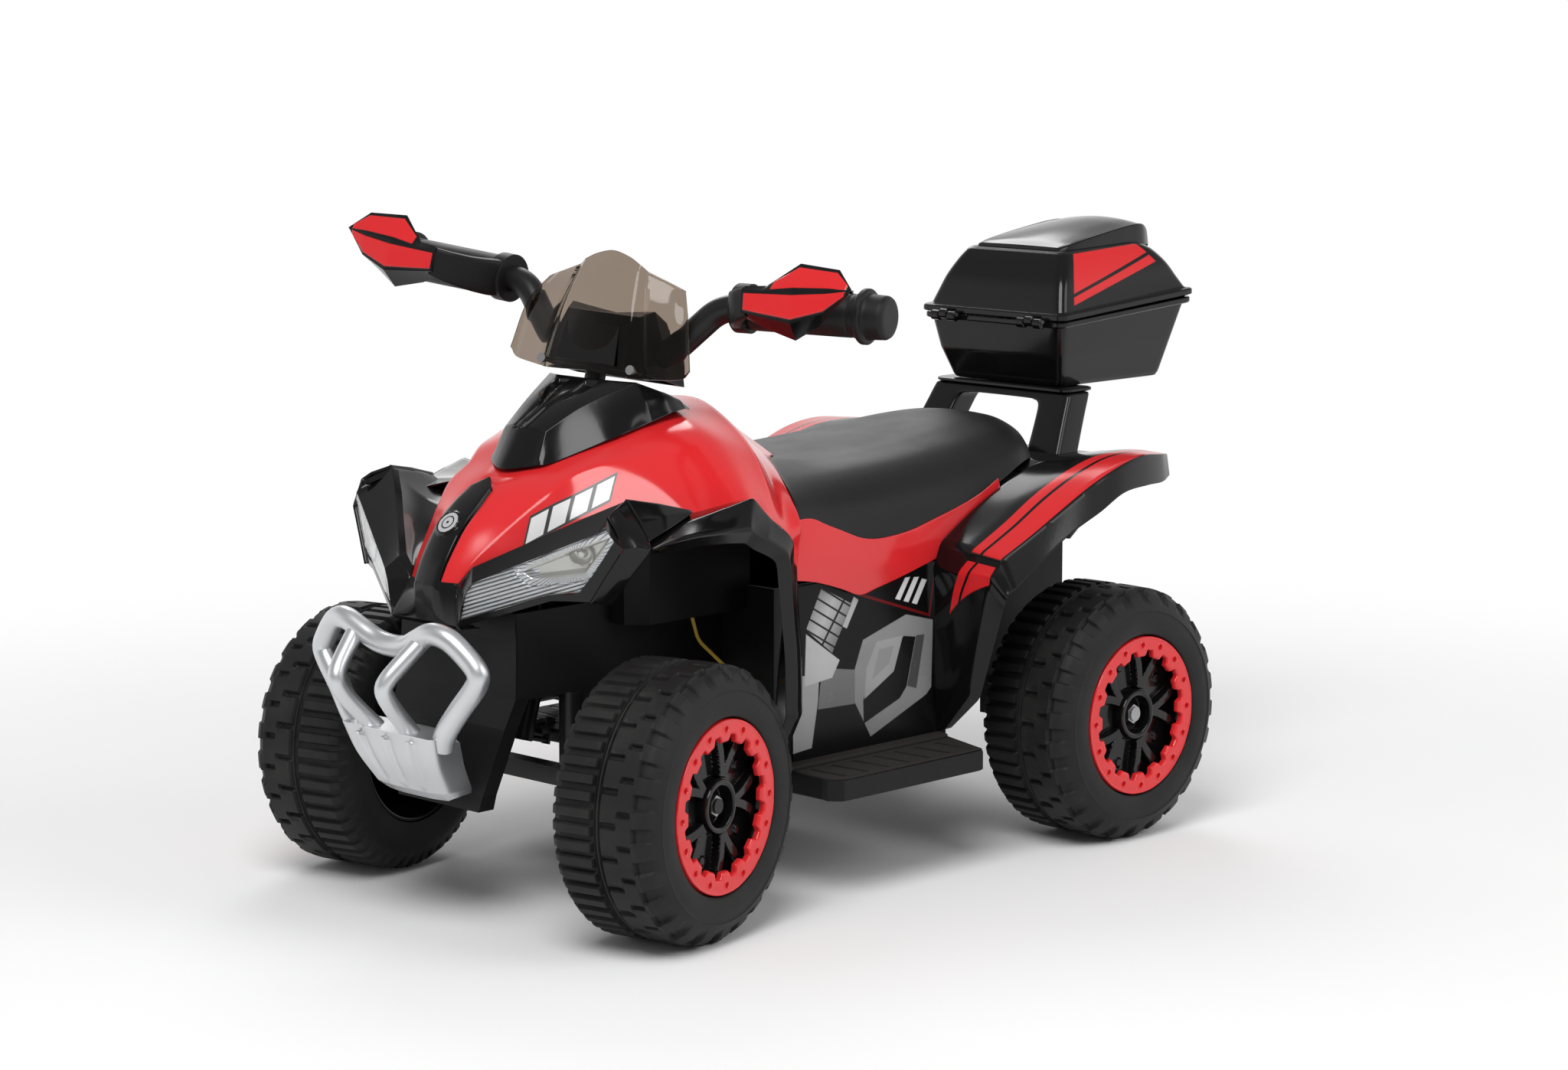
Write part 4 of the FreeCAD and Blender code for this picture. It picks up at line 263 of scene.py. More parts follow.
def distanceAlong(xyz, direction, origin):
    # dot product of a place with a direction, counted from an origin
    x, y, z = xyz
    return x * direction[0] + y * direction[1] + z * direction[2] - float(np.dot(origin, direction))


def mapParts(start):
    # shares along the rows and the columns of the piece's own grid
    uv = start.make("ShaderNodeUVMap", settings={"uv_map": "surface"})
    return uv.part(0), uv.part(1)


def withinShape(y, z, corners, soft):
    # product over the sides of a convex outline: 1 where the point lies on the inner side of each
    mask = 1.0
    for (a, b), (c, d) in zip(corners, corners[1:] + corners[:1]):
        length = math.hypot(c - a, d - b)
        away = z * ((c - a) / length) - y * ((d - b) / length) + ((d - b) * a - (c - a) * b) / length
        mask = away.above(0.0, soft) * mask
    return mask


# numpy surfaces

def spread(net, count, axis, crease=()):
    # cubic through the control points of one axis; at a crease the two slopes are each side's own chord
    net = np.moveaxis(np.asarray(net, float), axis, 0)
    n = len(net)
    chord = net[1:] - net[:-1]
    centre = np.concatenate([chord[:1], 0.5 * (chord[1:] + chord[:-1]), chord[-1:]])
    rightSlope, leftSlope = centre.copy(), centre.copy()
    for k in crease:
        if k < n - 1:
            rightSlope[k] = chord[k]
        if k > 0:
            leftSlope[k] = chord[k - 1]
    t = np.linspace(0.0, n - 1.0, count)
    i = np.minimum(t.astype(int), n - 2)
    f = (t - i).reshape((-1,) + (1,) * (net.ndim - 1))
    h00, h10 = 2 * f**3 - 3 * f**2 + 1, f**3 - 2 * f**2 + f
    h01, h11 = -2 * f**3 + 3 * f**2, f**3 - f**2
    out = h00 * net[i] + h10 * rightSlope[i] + h01 * net[i + 1] + h11 * leftSlope[i + 1]
    return np.moveaxis(out, 0, axis)


def surface(table, rows, columns, creaseRows=(), creaseColumns=()):
    return spread(spread(np.array(table, float), rows, 0, creaseRows), columns, 1, creaseColumns)


def netOf(form, creaseRows=(), creaseColumns=(), whole=False):
    # the surface of a settings dictionary; whole ones are given from the middle outwards
    net = acrossMiddle(form["net"]) if whole else form["net"]
    return surface(net, form["rows"], form["columns"], creaseRows, creaseColumns)


def facets(corners, rows, columns):
    # straight-sided facets: every row and column of the net keeps its edge
    n, m = np.shape(corners)[:2]
    return surface(corners, (n - 1) * rows + 1, (m - 1) * columns + 1, range(n), range(m))


def acrossMiddle(table):
    # a half net from the middle outwards becomes the whole net, right side first
    net = np.array(table, float)
    return np.concatenate([net[:, :0:-1] * np.array([-1.0, 1.0, 1.0]), net], axis=1)


def flipped(points):
    # mirror across the middle plane; rows reversed so that the faces keep pointing outwards
    return (np.asarray(points) * np.array([-1.0, 1.0, 1.0]))[::-1]


def meshFrom(name, points, closeU=False, closeV=False, capStart=False, capEnd=False, turn=False,
             mirrored=False):
    # quads of a two-parameter grid in metres, wrapped where a direction closes, ends closed by one face
    n, m = points.shape[:2]
    rows, columns = n - (not closeU), m - (not closeV)
    a, b = np.meshgrid(np.arange(rows), np.arange(columns), indexing="ij")
    corners = ((a, b), (a + 1, b), (a + 1, b + 1), (a, b + 1))
    quads = np.stack([p % n * m + q % m for p, q in corners], -1).reshape(-1, 4)
    uv = np.stack([np.stack([p / rows, q / columns], -1) for p, q in corners], 2).reshape(-1, 4, 2)
    if mirrored:
        uv[..., 0] = 1.0 - uv[..., 0]
    if turn:
        quads, uv = quads[:, ::-1], uv[:, ::-1]
    faces, uvs = quads.tolist(), [uv.reshape(-1, 2)]
    for wanted, first, ahead in ((capStart, 0, not turn), (capEnd, (n - 1) * m, turn)):
        if wanted:
            ring = list(range(first, first + m))
            faces.append(ring if ahead else ring[::-1])
            uvs.append(np.full((m, 2), float(first > 0)))
    mesh = bpy.data.meshes.new(name)
    mesh.from_pydata((points.reshape(-1, 3) * mm).tolist(), [], faces)
    layer = mesh.uv_layers.new(name="surface")
    layer.data.foreach_set("uv", np.concatenate(uvs).astype(np.float32).ravel())
    mesh.validate()
    return mesh


def workIn(obj, name):
    # the modifiers become part of the mesh
    before = obj.data
    made = bpy.data.meshes.new_from_object(obj.evaluated_get(bpy.context.evaluated_depsgraph_get()))
    obj.modifiers.clear()
    obj.data = made
    bpy.data.meshes.remove(before)
    made.name = name


def printOnOneWall(mesh, corners, printed):
    # the faces list the wall (0), its copy (1) and the rim; one wall keeps the map of the print
    layer = mesh.uv_layers["surface"].data
    uv = np.empty(len(layer) * 2, np.float32)
    layer.foreach_get("uv", uv)
    uv[np.arange(len(uv)) // (2 * corners) != printed] = -1.0
    layer.foreach_set("uv", uv)


def addPiece(name, points, finish, nodes=(), body="chassis", wall=0.0, bevel=0.0, sharp=38.0, even=True,
             printed=None, **grid):
    # wall thickness, rounded edges and shading are worked into the mesh of a grid, then it rides on its body;
    # pieces of the steering are drawn straight ahead
    mesh = meshFrom(name, steered(points) if body == "steering" else points, **grid)
    obj = newObject(name, mesh)
    if wall:
        corners = len(mesh.loops)
        mod = obj.modifiers.new("wall", "SOLIDIFY")
        mod.thickness = wall * mm
        mod.offset = -1.0
        mod.use_even_offset = even
        mod.thickness_clamp = 0.8 if even else 0.0
        workIn(obj, name)
        if printed is not None:
            printOnOneWall(obj.data, corners, printed)
    if bevel:
        mod = obj.modifiers.new("edge", "BEVEL")
        mod.width = bevel * mm
        mod.segments = 2
        mod.limit_method = "ANGLE"
        mod.angle_limit = math.radians(42.0)
        mod.use_clamp_overlap = True
        workIn(obj, name)
    obj.data.polygons.foreach_set("use_smooth", np.ones(len(obj.data.polygons), bool))
    obj.data.set_sharp_from_angle(angle=math.radians(sharp))
    obj.data.materials.clear()
    obj.data.materials.append(plain[finish])
    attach(obj, body)
    if nodes:
        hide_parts(*nodes)


def addPair(name, points, finish, nodes=(), **how):
    # the left piece and its mirror image
    addPiece(name + "_left", points, finish, nodes, **how)
    addPiece(name + "_right", flipped(points), finish, nodes, mirrored=True, **how)


tube = {"closeV": True, "capStart": True, "capEnd": True}


def turnAbout(points, centre, axis, degrees):
    # Rodrigues turn of whole arrays about a line
    k, a = unit(axis), math.radians(degrees)
    p = np.asarray(points, float) - centre
    along = k * (p @ k)[..., None]
    return p * math.cos(a) + np.cross(k, p) * math.sin(a) + along * (1 - math.cos(a)) + centre


def alongPath(path, profile):
    # a profile, or one for each place, is carried along a path on frames that turn as little as possible
    tangent = np.stack([unit(step) for step in np.gradient(path, axis=0)])
    first = np.cross(tangent[0], [0.0, 0.0, 1.0])
    side = [unit(first if np.linalg.norm(first) > 0.1 else np.cross(tangent[0], [0.0, 1.0, 0.0]))]
    for ahead in tangent[1:]:
        side.append(unit(side[-1] - ahead * (side[-1] @ ahead)))
    side = np.stack(side)
    up = np.cross(side, tangent)
    return path[:, None] + side[:, None] * profile[..., :1] + up[:, None] * profile[..., 1:2]


def roundProfile(radius, count):
    a = around(count)
    return np.stack([radius * np.cos(a), radius * np.sin(a)], -1)


def boxProfile(power, count):
    # superellipse with nearly square corners, one unit wide and high
    both = roundProfile(1.0, count)
    return 0.5 * np.sign(both) * np.abs(both) ** (2 / power)


def softStep(x, edge, width):
    t = np.clip((x - edge) / width + 0.5, 0.0, 1.0)
    return t * t * (3 - 2 * t)


def span(x, low, high, width, otherWidth=None):
    # 1 between two soft edges
    return softStep(x, low, width) * (1 - softStep(x, high, otherWidth or width))


def eased(x, first, last, place, width):
    # one value turns softly into another
    return first + (last - first) * softStep(x, place, width)


def squareWave(phase, share, soft):
    # 1 over a share of each turn of the phase, 0 over the rest, with soft flanks
    return softStep(share / 2 - np.abs(np.mod(phase - share / 2 + 0.5, 1.0) - 0.5), 0.0, soft)


def highest(*fields):
    top = fields[0]
    for field in fields[1:]:
        top = np.maximum(top, field)
    return top


steering = {"turn": 12.4, "foot": (0.0, -244.4, 112.0), "rake": 16.1}


def steered(points):
    rake = math.radians(steering["rake"])
    return turnAbout(points, steering["foot"], (0.0, math.sin(rake), math.cos(rake)), steering["turn"])


def showingRays(start):
    # 1 for the rays that show a backdrop: from the camera, off glossy pieces and through clear ones
    ray = start.make("ShaderNodeLightPath").socket.node.outputs
    kinds = ("Is Camera Ray", "Is Glossy Ray", "Is Transmission Ray")
    seen, shine, through = (Wire(start.tree, ray[kind]) for kind in kinds)
    return start.maths("MINIMUM", seen + shine + through, 1.0)


def addFloor():
    # flat disc; near the bike it takes shadow, further out it turns into plain white for the camera
    r, a = np.array(floor["rings"])[:, None], around(floor["around"])
    points = np.stack([r * np.cos(a), r * np.sin(a), np.full_like(r * a, floor["height"])], -1)
    mesh = meshFrom("floor", points, closeV=True, capStart=True)
    mat = bpy.data.materials.new("paleFloor")
    mat.use_nodes = True
    nodes = mat.node_tree.nodes
    nodes.clear()
    start = Wire(mat.node_tree, None)
    far = start.make("ShaderNodeTexCoord", out=3).vector("LENGTH")
    chalk = start.make("ShaderNodeBsdfDiffuse", Color=grey(floor["chalk"]))
    white = start.make("ShaderNodeEmission", Color=grey(1.0), Strength=1.0)
    mask = far.above(*floor["whiteEdge"]) * showingRays(start)
    both = start.make("ShaderNodeMixShader", i0=mask, i1=chalk, i2=white)
    both.feed(nodes.new("ShaderNodeOutputMaterial").inputs["Surface"])
    mesh.materials.append(mat)
    newObject("floor", mesh)


def addWorld():
    # bright backdrop behind the bike, dimmer on the viewer's side; rays that show it see plain white behind
    world = bpy.data.worlds.new("studio")
    bpy.context.scene.world = world
    world.use_nodes = True
    nodes = world.node_tree.nodes
    nodes.clear()
    start = Wire(world.node_tree, None)
    heading = start.make("ShaderNodeTexCoord", out=0)
    front = heading.vector("DOT_PRODUCT", tuple(towardsViewer())).above(*room["frontEdge"])
    ceiling = heading.part(2).above(*room["ceilingEdge"])
    dimFront, dimCeiling = 1.0 - front * (1.0 - room["front"]), 1.0 - ceiling * (1.0 - room["ceiling"])
    shade = start.maths("MINIMUM", dimFront, dimCeiling)
    strength = showingRays(start) * (1.0 - room["level"]) + room["level"]
    lit = start.make("ShaderNodeBackground", Color=grey(1.0), Strength=strength * shade)
    lit.feed(nodes.new("ShaderNodeOutputWorld").inputs["Surface"])


addCamera()
for name, settings in lamps.items():
    addLamp(name, *settings)
addFloor()
addWorld()
bpy.context.scene.view_settings.view_transform = "Standard"
for name in finishes:
    basicFinish(name)
clearFinish("lensClear", "lens_clear", (0.97, 0.985, 0.99), 0.05)
clearFinish("screenSmoke", "screen_smoke", (0.28, 0.22, 0.175), 0.06)
print("stage: camera, floor, light and finishes")

# wheels

wheel = {"halfTrack": 187.8, "frontAxle": -247.9, "rearAxle": 171.9, "height": 90.0, "kingpin": 147.8}
tyre = {
    "around": 832, "lugRise": 3.4, "base": 86.3, "crown": 0.35, "across": (-68.5, -10.0, 62),
    "middle": -39, "half": 30, "shoulder": (78.0, 2.0), "ridge": (-41.6, -37.6), "groove": (-40.2, -39.0),
    "inner": ((-76.4, 57.2), (-77.6, 62.0), (-78.4, 68.0), (-78.3, 73.0), (-77.0, 78.0), (-73.6, 82.6),
              (-70.0, 84.9)),
    "outer": ((-9.0, 85.0), (-5.2, 82.4), (-1.4, 78.8), (0.6, 74.8), (1.0, 74.2), (0.5, 73.4),
              (1.15, 68.0), (0.7, 62.0), (-0.4, 58.4), (-2.0, 57.2)),
    # blocks: count round the tyre, phase, share, flank, then both edges across the tread and their flanks
    "ribs": (52, 0.0, 0.60, 0.10, -75.0, -43.2, 3.0, 0.9),
    "inside": (26, 0.0, 0.84, 0.055, -36.0, -22.6, 0.8, 0.8),
    "between": (26, 0.36, 0.84, 0.055, -24.2, -12.5, 0.8, 0.9),
    "outside": (26, 0.62, 0.56, 0.06, -14.0, -2.6, 0.8, 3.2),
    "dimple": (26, 0.30, 0.24, 0.06, -33.0, -26.0, 0.9, 0.9),
}
rim = {
    # profiles as axial place and radius: flange, face, hub and dish
    "around": 480, "face": -11.6, "rise": 5.2, "faceRadii": (52.0, 19.2, 44), "inside": 17.0, "reach": 36.0,
    "front": ((-60.0, 56.6), (-5.6, 56.6), (-5.2, 56.2), (-5.2, 54.2), (-5.8, 53.7), (-11.8, 53.0),
              (-12.6, 52.6)),
    "hub": ((-12.4, 18.4), (-5.0, 17.5), (-4.2, 17.0), (-4.0, 16.2), (-4.0, 14.4), (-4.6, 13.7),
            (-13.6, 13.4), (-14.0, 13.0), (-14.0, 5.1), (-28.0, 5.1), (-28.0, 17.2), (-18.6, 18.0),
            (-18.4, 52.0), (-20.0, 53.7), (-75.0, 53.8), (-75.4, 54.4), (-75.4, 56.0), (-75.0, 56.6)),
    "ribs": 5, "dish": -1.3, "web": 0.85, "boltRise": 1.6,
    "fork": (0.05, 0.30, 1.15), "ribHalf": (2.9, 1.5), "boltAt": 36.0, "boltRadius": 3.2,
}
beadRing = {
    "around": 768, "outer": 56.25, "lobe": 41.6, "valley": 46.2, "holes": 16, "holeAt": 50.3,
    "holeRadius": 1.75, "holeDepth": -2.8, "collar": 1.2, "collarRise": 0.5, "sunk": 0.45, "back": -4.9,
    "lobeShare": 0.55, "lobeFlank": 0.16, "flatSteps": 30,
    # share of the way from the inner to the outer edge, and height there
    "section": ((0.0, -2.4), (0.012, -1.5), (0.045, -0.7), (0.10, -0.25), (0.16, 0.0), (0.86, 0.0),
                (0.90, 0.35), (0.955, 0.35), (0.985, 0.0), (1.0, -0.8)),
}


def wheelWorld(a, r, turn, end, side):
    # axial offset, radius and angle become places on one of the four wheels
    sign = 1.0 if side == "left" else -1.0
    y0, z0 = wheel[end + "Axle"], wheel["height"]
    a, r, turn = np.broadcast_arrays(a, r, turn)
    p = np.stack([sign * (wheel["halfTrack"] + a), y0 + sign * r * np.cos(turn), z0 + r * np.sin(turn)], -1)
    if end == "front":
        p = turnAbout(p, (sign * wheel["kingpin"], y0, z0), (0, 0, 1), steering["turn"])
    return p


def tyreGrid():
    # profile from bead over the tread to bead; lugs and blocks are soft square waves of the angle
    flat = np.linspace(*tyre["across"])
    crown = tyre["base"] + tyre["crown"] * (1 - ((flat - tyre["middle"]) / tyre["half"]) ** 2)
    inner, outer = spread(tyre["inner"], 16, 0), spread(tyre["outer"], 26, 0)
    profile = np.concatenate([inner, np.stack([flat, crown], -1), outer])
    turn = around(tyre["around"])[:, None]
    a, r = profile[None, :, 0], profile[None, :, 1]

    def blocks(key):
        count, shift, share, flank, low, high, lowFlank, highFlank = tyre[key]
        wave = squareWave(turn / fullTurn * count + shift, share, flank)
        return wave * span(a, low, high, lowFlank, highFlank)

    ridge = span(a, *tyre["ridge"], 0.8) * (1 - span(a, *tyre["groove"], 0.7))
    outside = 0.9 * blocks("outside") * softStep(r, *tyre["shoulder"])
    lift = highest(blocks("ribs"), 0.72 * ridge, blocks("inside"), blocks("between"), outside)
    lift = lift * (1 - 0.22 * blocks("dimple"))
    return a, np.minimum(r + lift * tyre["lugRise"], tyre["base"] + tyre["crown"] + tyre["lugRise"]), turn


def rimGrid():
    # one closed profile from the flange inwards over the face to the hub and back round the dish;
    # forked ribs and bolt heads between them rise on the face
    front, hub, face = np.array(rim["front"]), np.array(rim["hub"]), np.linspace(*rim["faceRadii"])
    a = np.concatenate([front[:, 0], np.full(len(face), rim["face"]), hub[:, 0]])[None, :]
    r = np.concatenate([front[:, 1], face, hub[:, 1]])[None, :]
    turn = around(rim["around"])[:, None]
    column = np.arange(a.shape[1])[None, :]
    onFace = (column >= len(front)) & (column < len(front) + len(face))
    pitch = fullTurn / rim["ribs"]
    out = np.clip((r - rim["inside"]) / rim["reach"], 0, 1)
    fork = rim["fork"][0] + rim["fork"][1] * out ** rim["fork"][2]
    sector = np.abs(np.mod(turn + pitch / 2, pitch) - pitch / 2)
    ridge = softStep(rim["ribHalf"][0] + rim["ribHalf"][1] * out - np.abs(sector - fork) * r, 0.0, 1.2)
    web = softStep(fork - sector, 0.0, 0.04) * (1 - softStep(out, 0.34, 0.10)) * rim["web"]
    dish = rim["dish"] * np.sin(np.pi * out)
    bolt = np.hypot(r - rim["boltAt"], (np.mod(turn, pitch) - pitch / 2) * rim["boltAt"])
    head = rim["boltRise"] * softStep(rim["boltRadius"] - bolt, 0.0, 0.8)
    lift = np.maximum(ridge, web) * rim["rise"] * (1.0 - 0.28 * out) + (dish + head) * (1 - ridge)
    return a + np.where(onFace, lift, 0.0), r, turn


def ringGrid():
    # the front runs from the rim inwards, sixteen lobes set the inner edge, pits make the screw holes
    holes, holeAt, outer = beadRing["holes"], beadRing["holeAt"], beadRing["outer"]
    turn = around(beadRing["around"])[:, None]
    lobeShare = beadRing["lobeShare"]
    lobe = squareWave(turn / fullTurn * holes + lobeShare / 2, lobeShare, beadRing["lobeFlank"])
    inner = beadRing["valley"] + (beadRing["lobe"] - beadRing["valley"]) * lobe
    share, height = np.array(beadRing["section"]).T
    flat = np.linspace(share[5], share[4], beadRing["flatSteps"])
    s = np.concatenate([share[:5:-1], flat, share[3::-1]])[None, :]
    r = inner + (outer - inner) * s
    middle = np.mod(turn * holes / fullTurn + 0.5, 1.0) - 0.5
    away = np.hypot(r - holeAt, middle * fullTurn / holes * holeAt)
    hole = beadRing["holeRadius"] - away
    collar = beadRing["collarRise"] * softStep(hole + beadRing["collar"], 0.0, 0.6)
    pit = beadRing["holeDepth"] * softStep(hole, 0.0, 0.5)
    back = np.full_like(inner, beadRing["back"])
    a = np.concatenate([np.interp(s, share, height) + collar + pit - beadRing["sunk"], back, back], axis=1)
    return a, np.concatenate([r, inner + 0.2, np.full_like(inner, outer)], axis=1), turn


def wheelPaint(start, place, colour, rough):
    # pale scuffs in soft patches
    scuff = noise(place, 22.0, 6.0, 0.65).above(0.60, 0.14)
    return (scuff * 0.35).mix(colour, rgba((0.045, 0.044, 0.042))), rough + scuff * 0.12


basicFinish("tyreScuffed", wheelPaint, "tyreBlack")
wheelPieces = {"tyre": ("tyreScuffed", tyreGrid()), "rim": ("blackGloss", rimGrid()),
               "ring": ("redGloss", ringGrid())}
for end in ("front", "rear"):
    for side in ("left", "right"):
        for kind, (finish, grid) in wheelPieces.items():
            node = "_".join((kind, end, side))
            body = "_".join(("wheel", end, side))
            addPiece(node + "_skin", wheelWorld(*grid, end, side), finish, [node], body, sharp=42.0,
                     closeU=True, closeV=True)
print("wheels: tyre, rim and bead ring on four corners")

# red upper shell: bonnet, tank and side bands

hood = {"rows": 150, "columns": 160, "wall": 2.6, "bevel": 0.7, "net": (
    ((0, -326.4, 222.7), (12, -325, 222.8), (22.6, -319.2, 223), (23.6, -316.5, 222),
     (24.2, -313.5, 220), (24, -309, 216)),
    ((0, -318.6, 238), (13, -316.8, 237.6), (26.8, -310.5, 235.5), (29.4, -307, 232.6),
     (31.4, -303.5, 229), (32, -297, 222)),
    ((0, -305.6, 256), (14, -303.6, 255.4), (33.6, -295.7, 250.3), (40.4, -293, 241.6),
     (46, -289.5, 233), (47, -284, 224)),
    ((0, -289, 270.4), (16, -287, 269.6), (41.2, -280.4, 264.8), (51, -276.6, 249.6), (59, -272, 238),
     (60, -266, 228)),
    ((0, -271.5, 281.6), (18, -270.2, 281.2), (48, -264.4, 278), (62, -260, 257.6), (71, -255, 245),
     (72, -249, 234)),
    ((0, -247, 292), (22, -246, 292), (50, -246.2, 288.3), (72.6, -243, 266), (83, -237, 251),
     (84, -231, 240)),
    ((0, -224, 303.5), (25, -223.5, 303), (62, -226, 296.2), (94.6, -216.4, 268.6), (102, -212, 254),
     (102, -206, 243)),
    ((0, -205, 313), (28, -205, 311.6), (74, -204, 299.6), (113, -198, 267), (116, -195, 255),
     (114, -190, 246)),
    ((0, -176, 320), (30, -177, 319), (80, -178, 306), (119, -172, 268), (118.5, -170, 257),
     (116, -168, 246)),
    ((0, -145, 323), (36, -147, 322), (82, -150, 307), (120, -151, 268), (118.5, -150, 258),
     (116, -149, 246)),
    ((0, -93, 324), (40, -101, 317), (86, -112, 293), (117, -124, 255), (118, -122, 240), (116.5, -118, 220)),
    ((0, -52, 299), (36, -75, 298), (81, -98, 281), (115.5, -112, 249), (117, -112, 232), (116, -111, 212)),
    ((0, -13, 276), (32, -45, 279.6), (76, -78, 273), (113, -98, 250.5), (114.5, -101, 232),
     (115, -104, 210.5)),
)}
band = {"rows": 90, "columns": 26, "net": (
    ((113, -98, 250.5), (114.5, -101, 232), (115, -104, 210.5)),
    ((113, -85.8, 250), (114.5, -86, 228), (114, -86, 207.4)),
    ((113, -71, 244.2), (114, -71, 223), (113, -70, 203.2)),
    ((112.5, -56, 238.6), (113.4, -56, 218), (112, -55, 198.4)),
    ((112, -38, 232), (113, -38, 212), (111, -37, 192.4)),
    ((112, -22, 229.4), (112.6, -21, 212), (111, -20, 195.3)),
    ((112, -4, 229.8), (112.4, -2, 214), (111, 0, 199.4)),
    ((110.5, 16, 231.6), (111.6, 18, 218), (111, 21, 204.3)),
    ((109.5, 38, 236.1), (110.6, 40, 223), (110.4, 43, 209.8)),
    ((109, 62, 241.5), (109.6, 63, 229.6), (109, 64, 218)),
    ((108.6, 86, 248.5), (108.6, 87, 240.4), (108.4, 88, 233.3)),
    ((107, 108, 257.6), (107.2, 109, 253.4), (107, 110, 249.4)),
)}
hoodMark = {"from": (46.0, -281.0, 255.2), "to": (80.0, -226.0, 288.0), "up": (-0.42, 0.20, 0.88),
            "half": 8.0, "bars": 4.0, "lean": 0.9, "short": 8.0, "frame": 1.6, "reach": 16.0}


def hoodPaint(start, place, colour, rough):
    # place along and across a line on each side of the bonnet; leaning pale bars stand inside a dark outline
    begin, end, up = (np.array(hoodMark[key]) for key in ("from", "to", "up"))
    ahead = unit(end - begin)
    up = unit(up - ahead * (up @ ahead))
    xyz = inMillimetres(place)
    rise = distanceAlong(xyz, up, begin)
    run = distanceAlong(xyz, ahead, begin) - rise * hoodMark["lean"]
    near = abs(distanceAlong(xyz, np.cross(ahead, up), begin))
    length, half = np.linalg.norm(end - begin) - hoodMark["short"], hoodMark["half"]
    block = rise.between(-half, half, 0.25) * run.between(0.0, length, 0.25)
    block = block * (1.0 - near.above(hoodMark["reach"], 1.0))
    half = half - hoodMark["frame"]
    cell = start.maths("FRACT", run * (hoodMark["bars"] / length))
    bar = block * rise.between(-half, half, 0.25) * cell.between(0.10, 0.90, 0.02)
    colour = block.mix(colour, rgba((0.045, 0.045, 0.048)))
    return bar.mix(colour, grey(0.80)), rough + block * 0.04


basicFinish("markedRed", hoodPaint, "redGloss")
# the creases along the bonnet fade out towards the seat
soft, sharp = (netOf(hood, (10,), columns, whole=True) for columns in ((), (3, 7)))
stay = (1 - softStep(np.linspace(0, 12, hood["rows"]), 6.5, 3.0))[:, None, None]
shellEdge = {"wall": hood["wall"], "bevel": hood["bevel"], "turn": True}
addPiece("bonnet_skin", soft * (1 - stay) + sharp * stay, "markedRed", ["upper_shell"], **shellEdge)
addPair("side_band", netOf(band), "redGloss", ["upper_shell"], **shellEdge)

# tank cover with two grooves down its front, whose place and half width change along the rows

cover = {"rows": 150, "columns": 220, "wall": 2.6, "net": (
    ((0, -261, 290), (8, -259, 290.5), (17, -254, 292), (23, -250, 293), (24.6, -249, 293.5),
     (26, -247.5, 293.5)),
    ((0, -244.5, 317), (8, -243.5, 316.5), (15, -241.5, 315.5), (20.2, -239.8, 314.1),
     (24.5, -240, 305), (29, -241, 294.5)),
    ((0, -215, 333.5), (10, -214.5, 333), (20, -213.5, 332), (28, -213, 330), (39, -211, 319),
     (48, -210, 308.5)),
    ((0, -190, 344.3), (12, -189.6, 344.3), (25, -188, 344.1), (42, -180, 343.4), (50, -179, 331),
     (55, -178, 318)),
    ((0, -170, 338.5), (12, -170, 338.5), (25, -169.5, 338.4), (43, -165, 338), (51, -162, 334),
     (56, -159, 323)),
    ((0, -150, 333), (13, -150, 333), (28, -150, 332.8), (45, -150, 332.4), (51, -148, 329.5),
     (53.5, -146, 324)),
    ((0, -133, 325), (13, -133, 325), (28, -133, 325), (42, -134, 324.5), (47, -136, 323.5), (49, -137, 322)),
)}
# at and half: first value, last value, row and length of the change; ends: rows and their soft lengths
groove = {"at": (4.0, 13.0, 2.05, 0.9), "half": (2.1, 5.3, 2.1, 0.8), "ends": (0.96, 2.84, 0.10, 0.16),
          "flank": 1.6, "depth": 2.4, "out": (0.0, -0.5, 0.86)}
points = netOf(cover, (1, 3, 5), (2, 8), whole=True)
u = np.linspace(0, len(cover["net"]) - 1, cover["rows"])[:, None]
fromMiddle = np.abs(np.abs(points[..., 0]) - eased(u, *groove["at"]))
dent = softStep(eased(u, *groove["half"]) - fromMiddle, 0.0, groove["flank"]) * span(u, *groove["ends"])
points = points - dent[..., None] * groove["depth"] * np.array(groove["out"])
addPiece("tank_cover_skin", points, "blackGloss", ["tank_cover"], wall=cover["wall"], bevel=0.6, turn=True)

# strip down the nose with a round badge of plain rings

strip = {"rows": 90, "columns": 41, "badge": (0.0, -306.4, 258.6), "out": (0.0, -0.66, 0.75), "net": (
    ((0, -328.4, 223.0), (8, -327.8, 223.0), (12.0, -326.4, 223.2), (12.4, -324.4, 222.4)),
    ((0, -320.8, 239.4), (8, -320.2, 239.2), (12.2, -318.8, 238.8), (12.6, -316.4, 237.0)),
    ((0, -308.0, 258.0), (8, -307.4, 257.8), (12.4, -306.2, 257.2), (12.8, -303.8, 254.6)),
    ((0, -293.0, 271.4), (8, -292.6, 271.2), (11.8, -291.8, 270.6), (12.2, -289.6, 267.8)),
    ((0, -279.6, 280.6), (6, -279.4, 280.5), (9.6, -279.0, 280.2), (10.0, -276.8, 277.2)),
    ((0, -271.8, 285.6), (0.6, -271.8, 285.6), (1.2, -271.6, 285.4), (1.4, -270.2, 281.6)),
)}


def badgePaint(start, place, colour, rough):
    # pale disc with a dark ring and hub, by distance from the middle of the badge in millimetres
    away = place.vector("DISTANCE", tuple(c * mm for c in strip["badge"])) * 1000.0
    disc = (1.0 - away.above(7.8, 0.2)) * (1.0 - away.between(4.4, 5.3, 0.2)) * away.above(1.9, 0.2)
    return disc.mix(colour, rgba((0.52, 0.52, 0.53))), rough + disc * 0.12


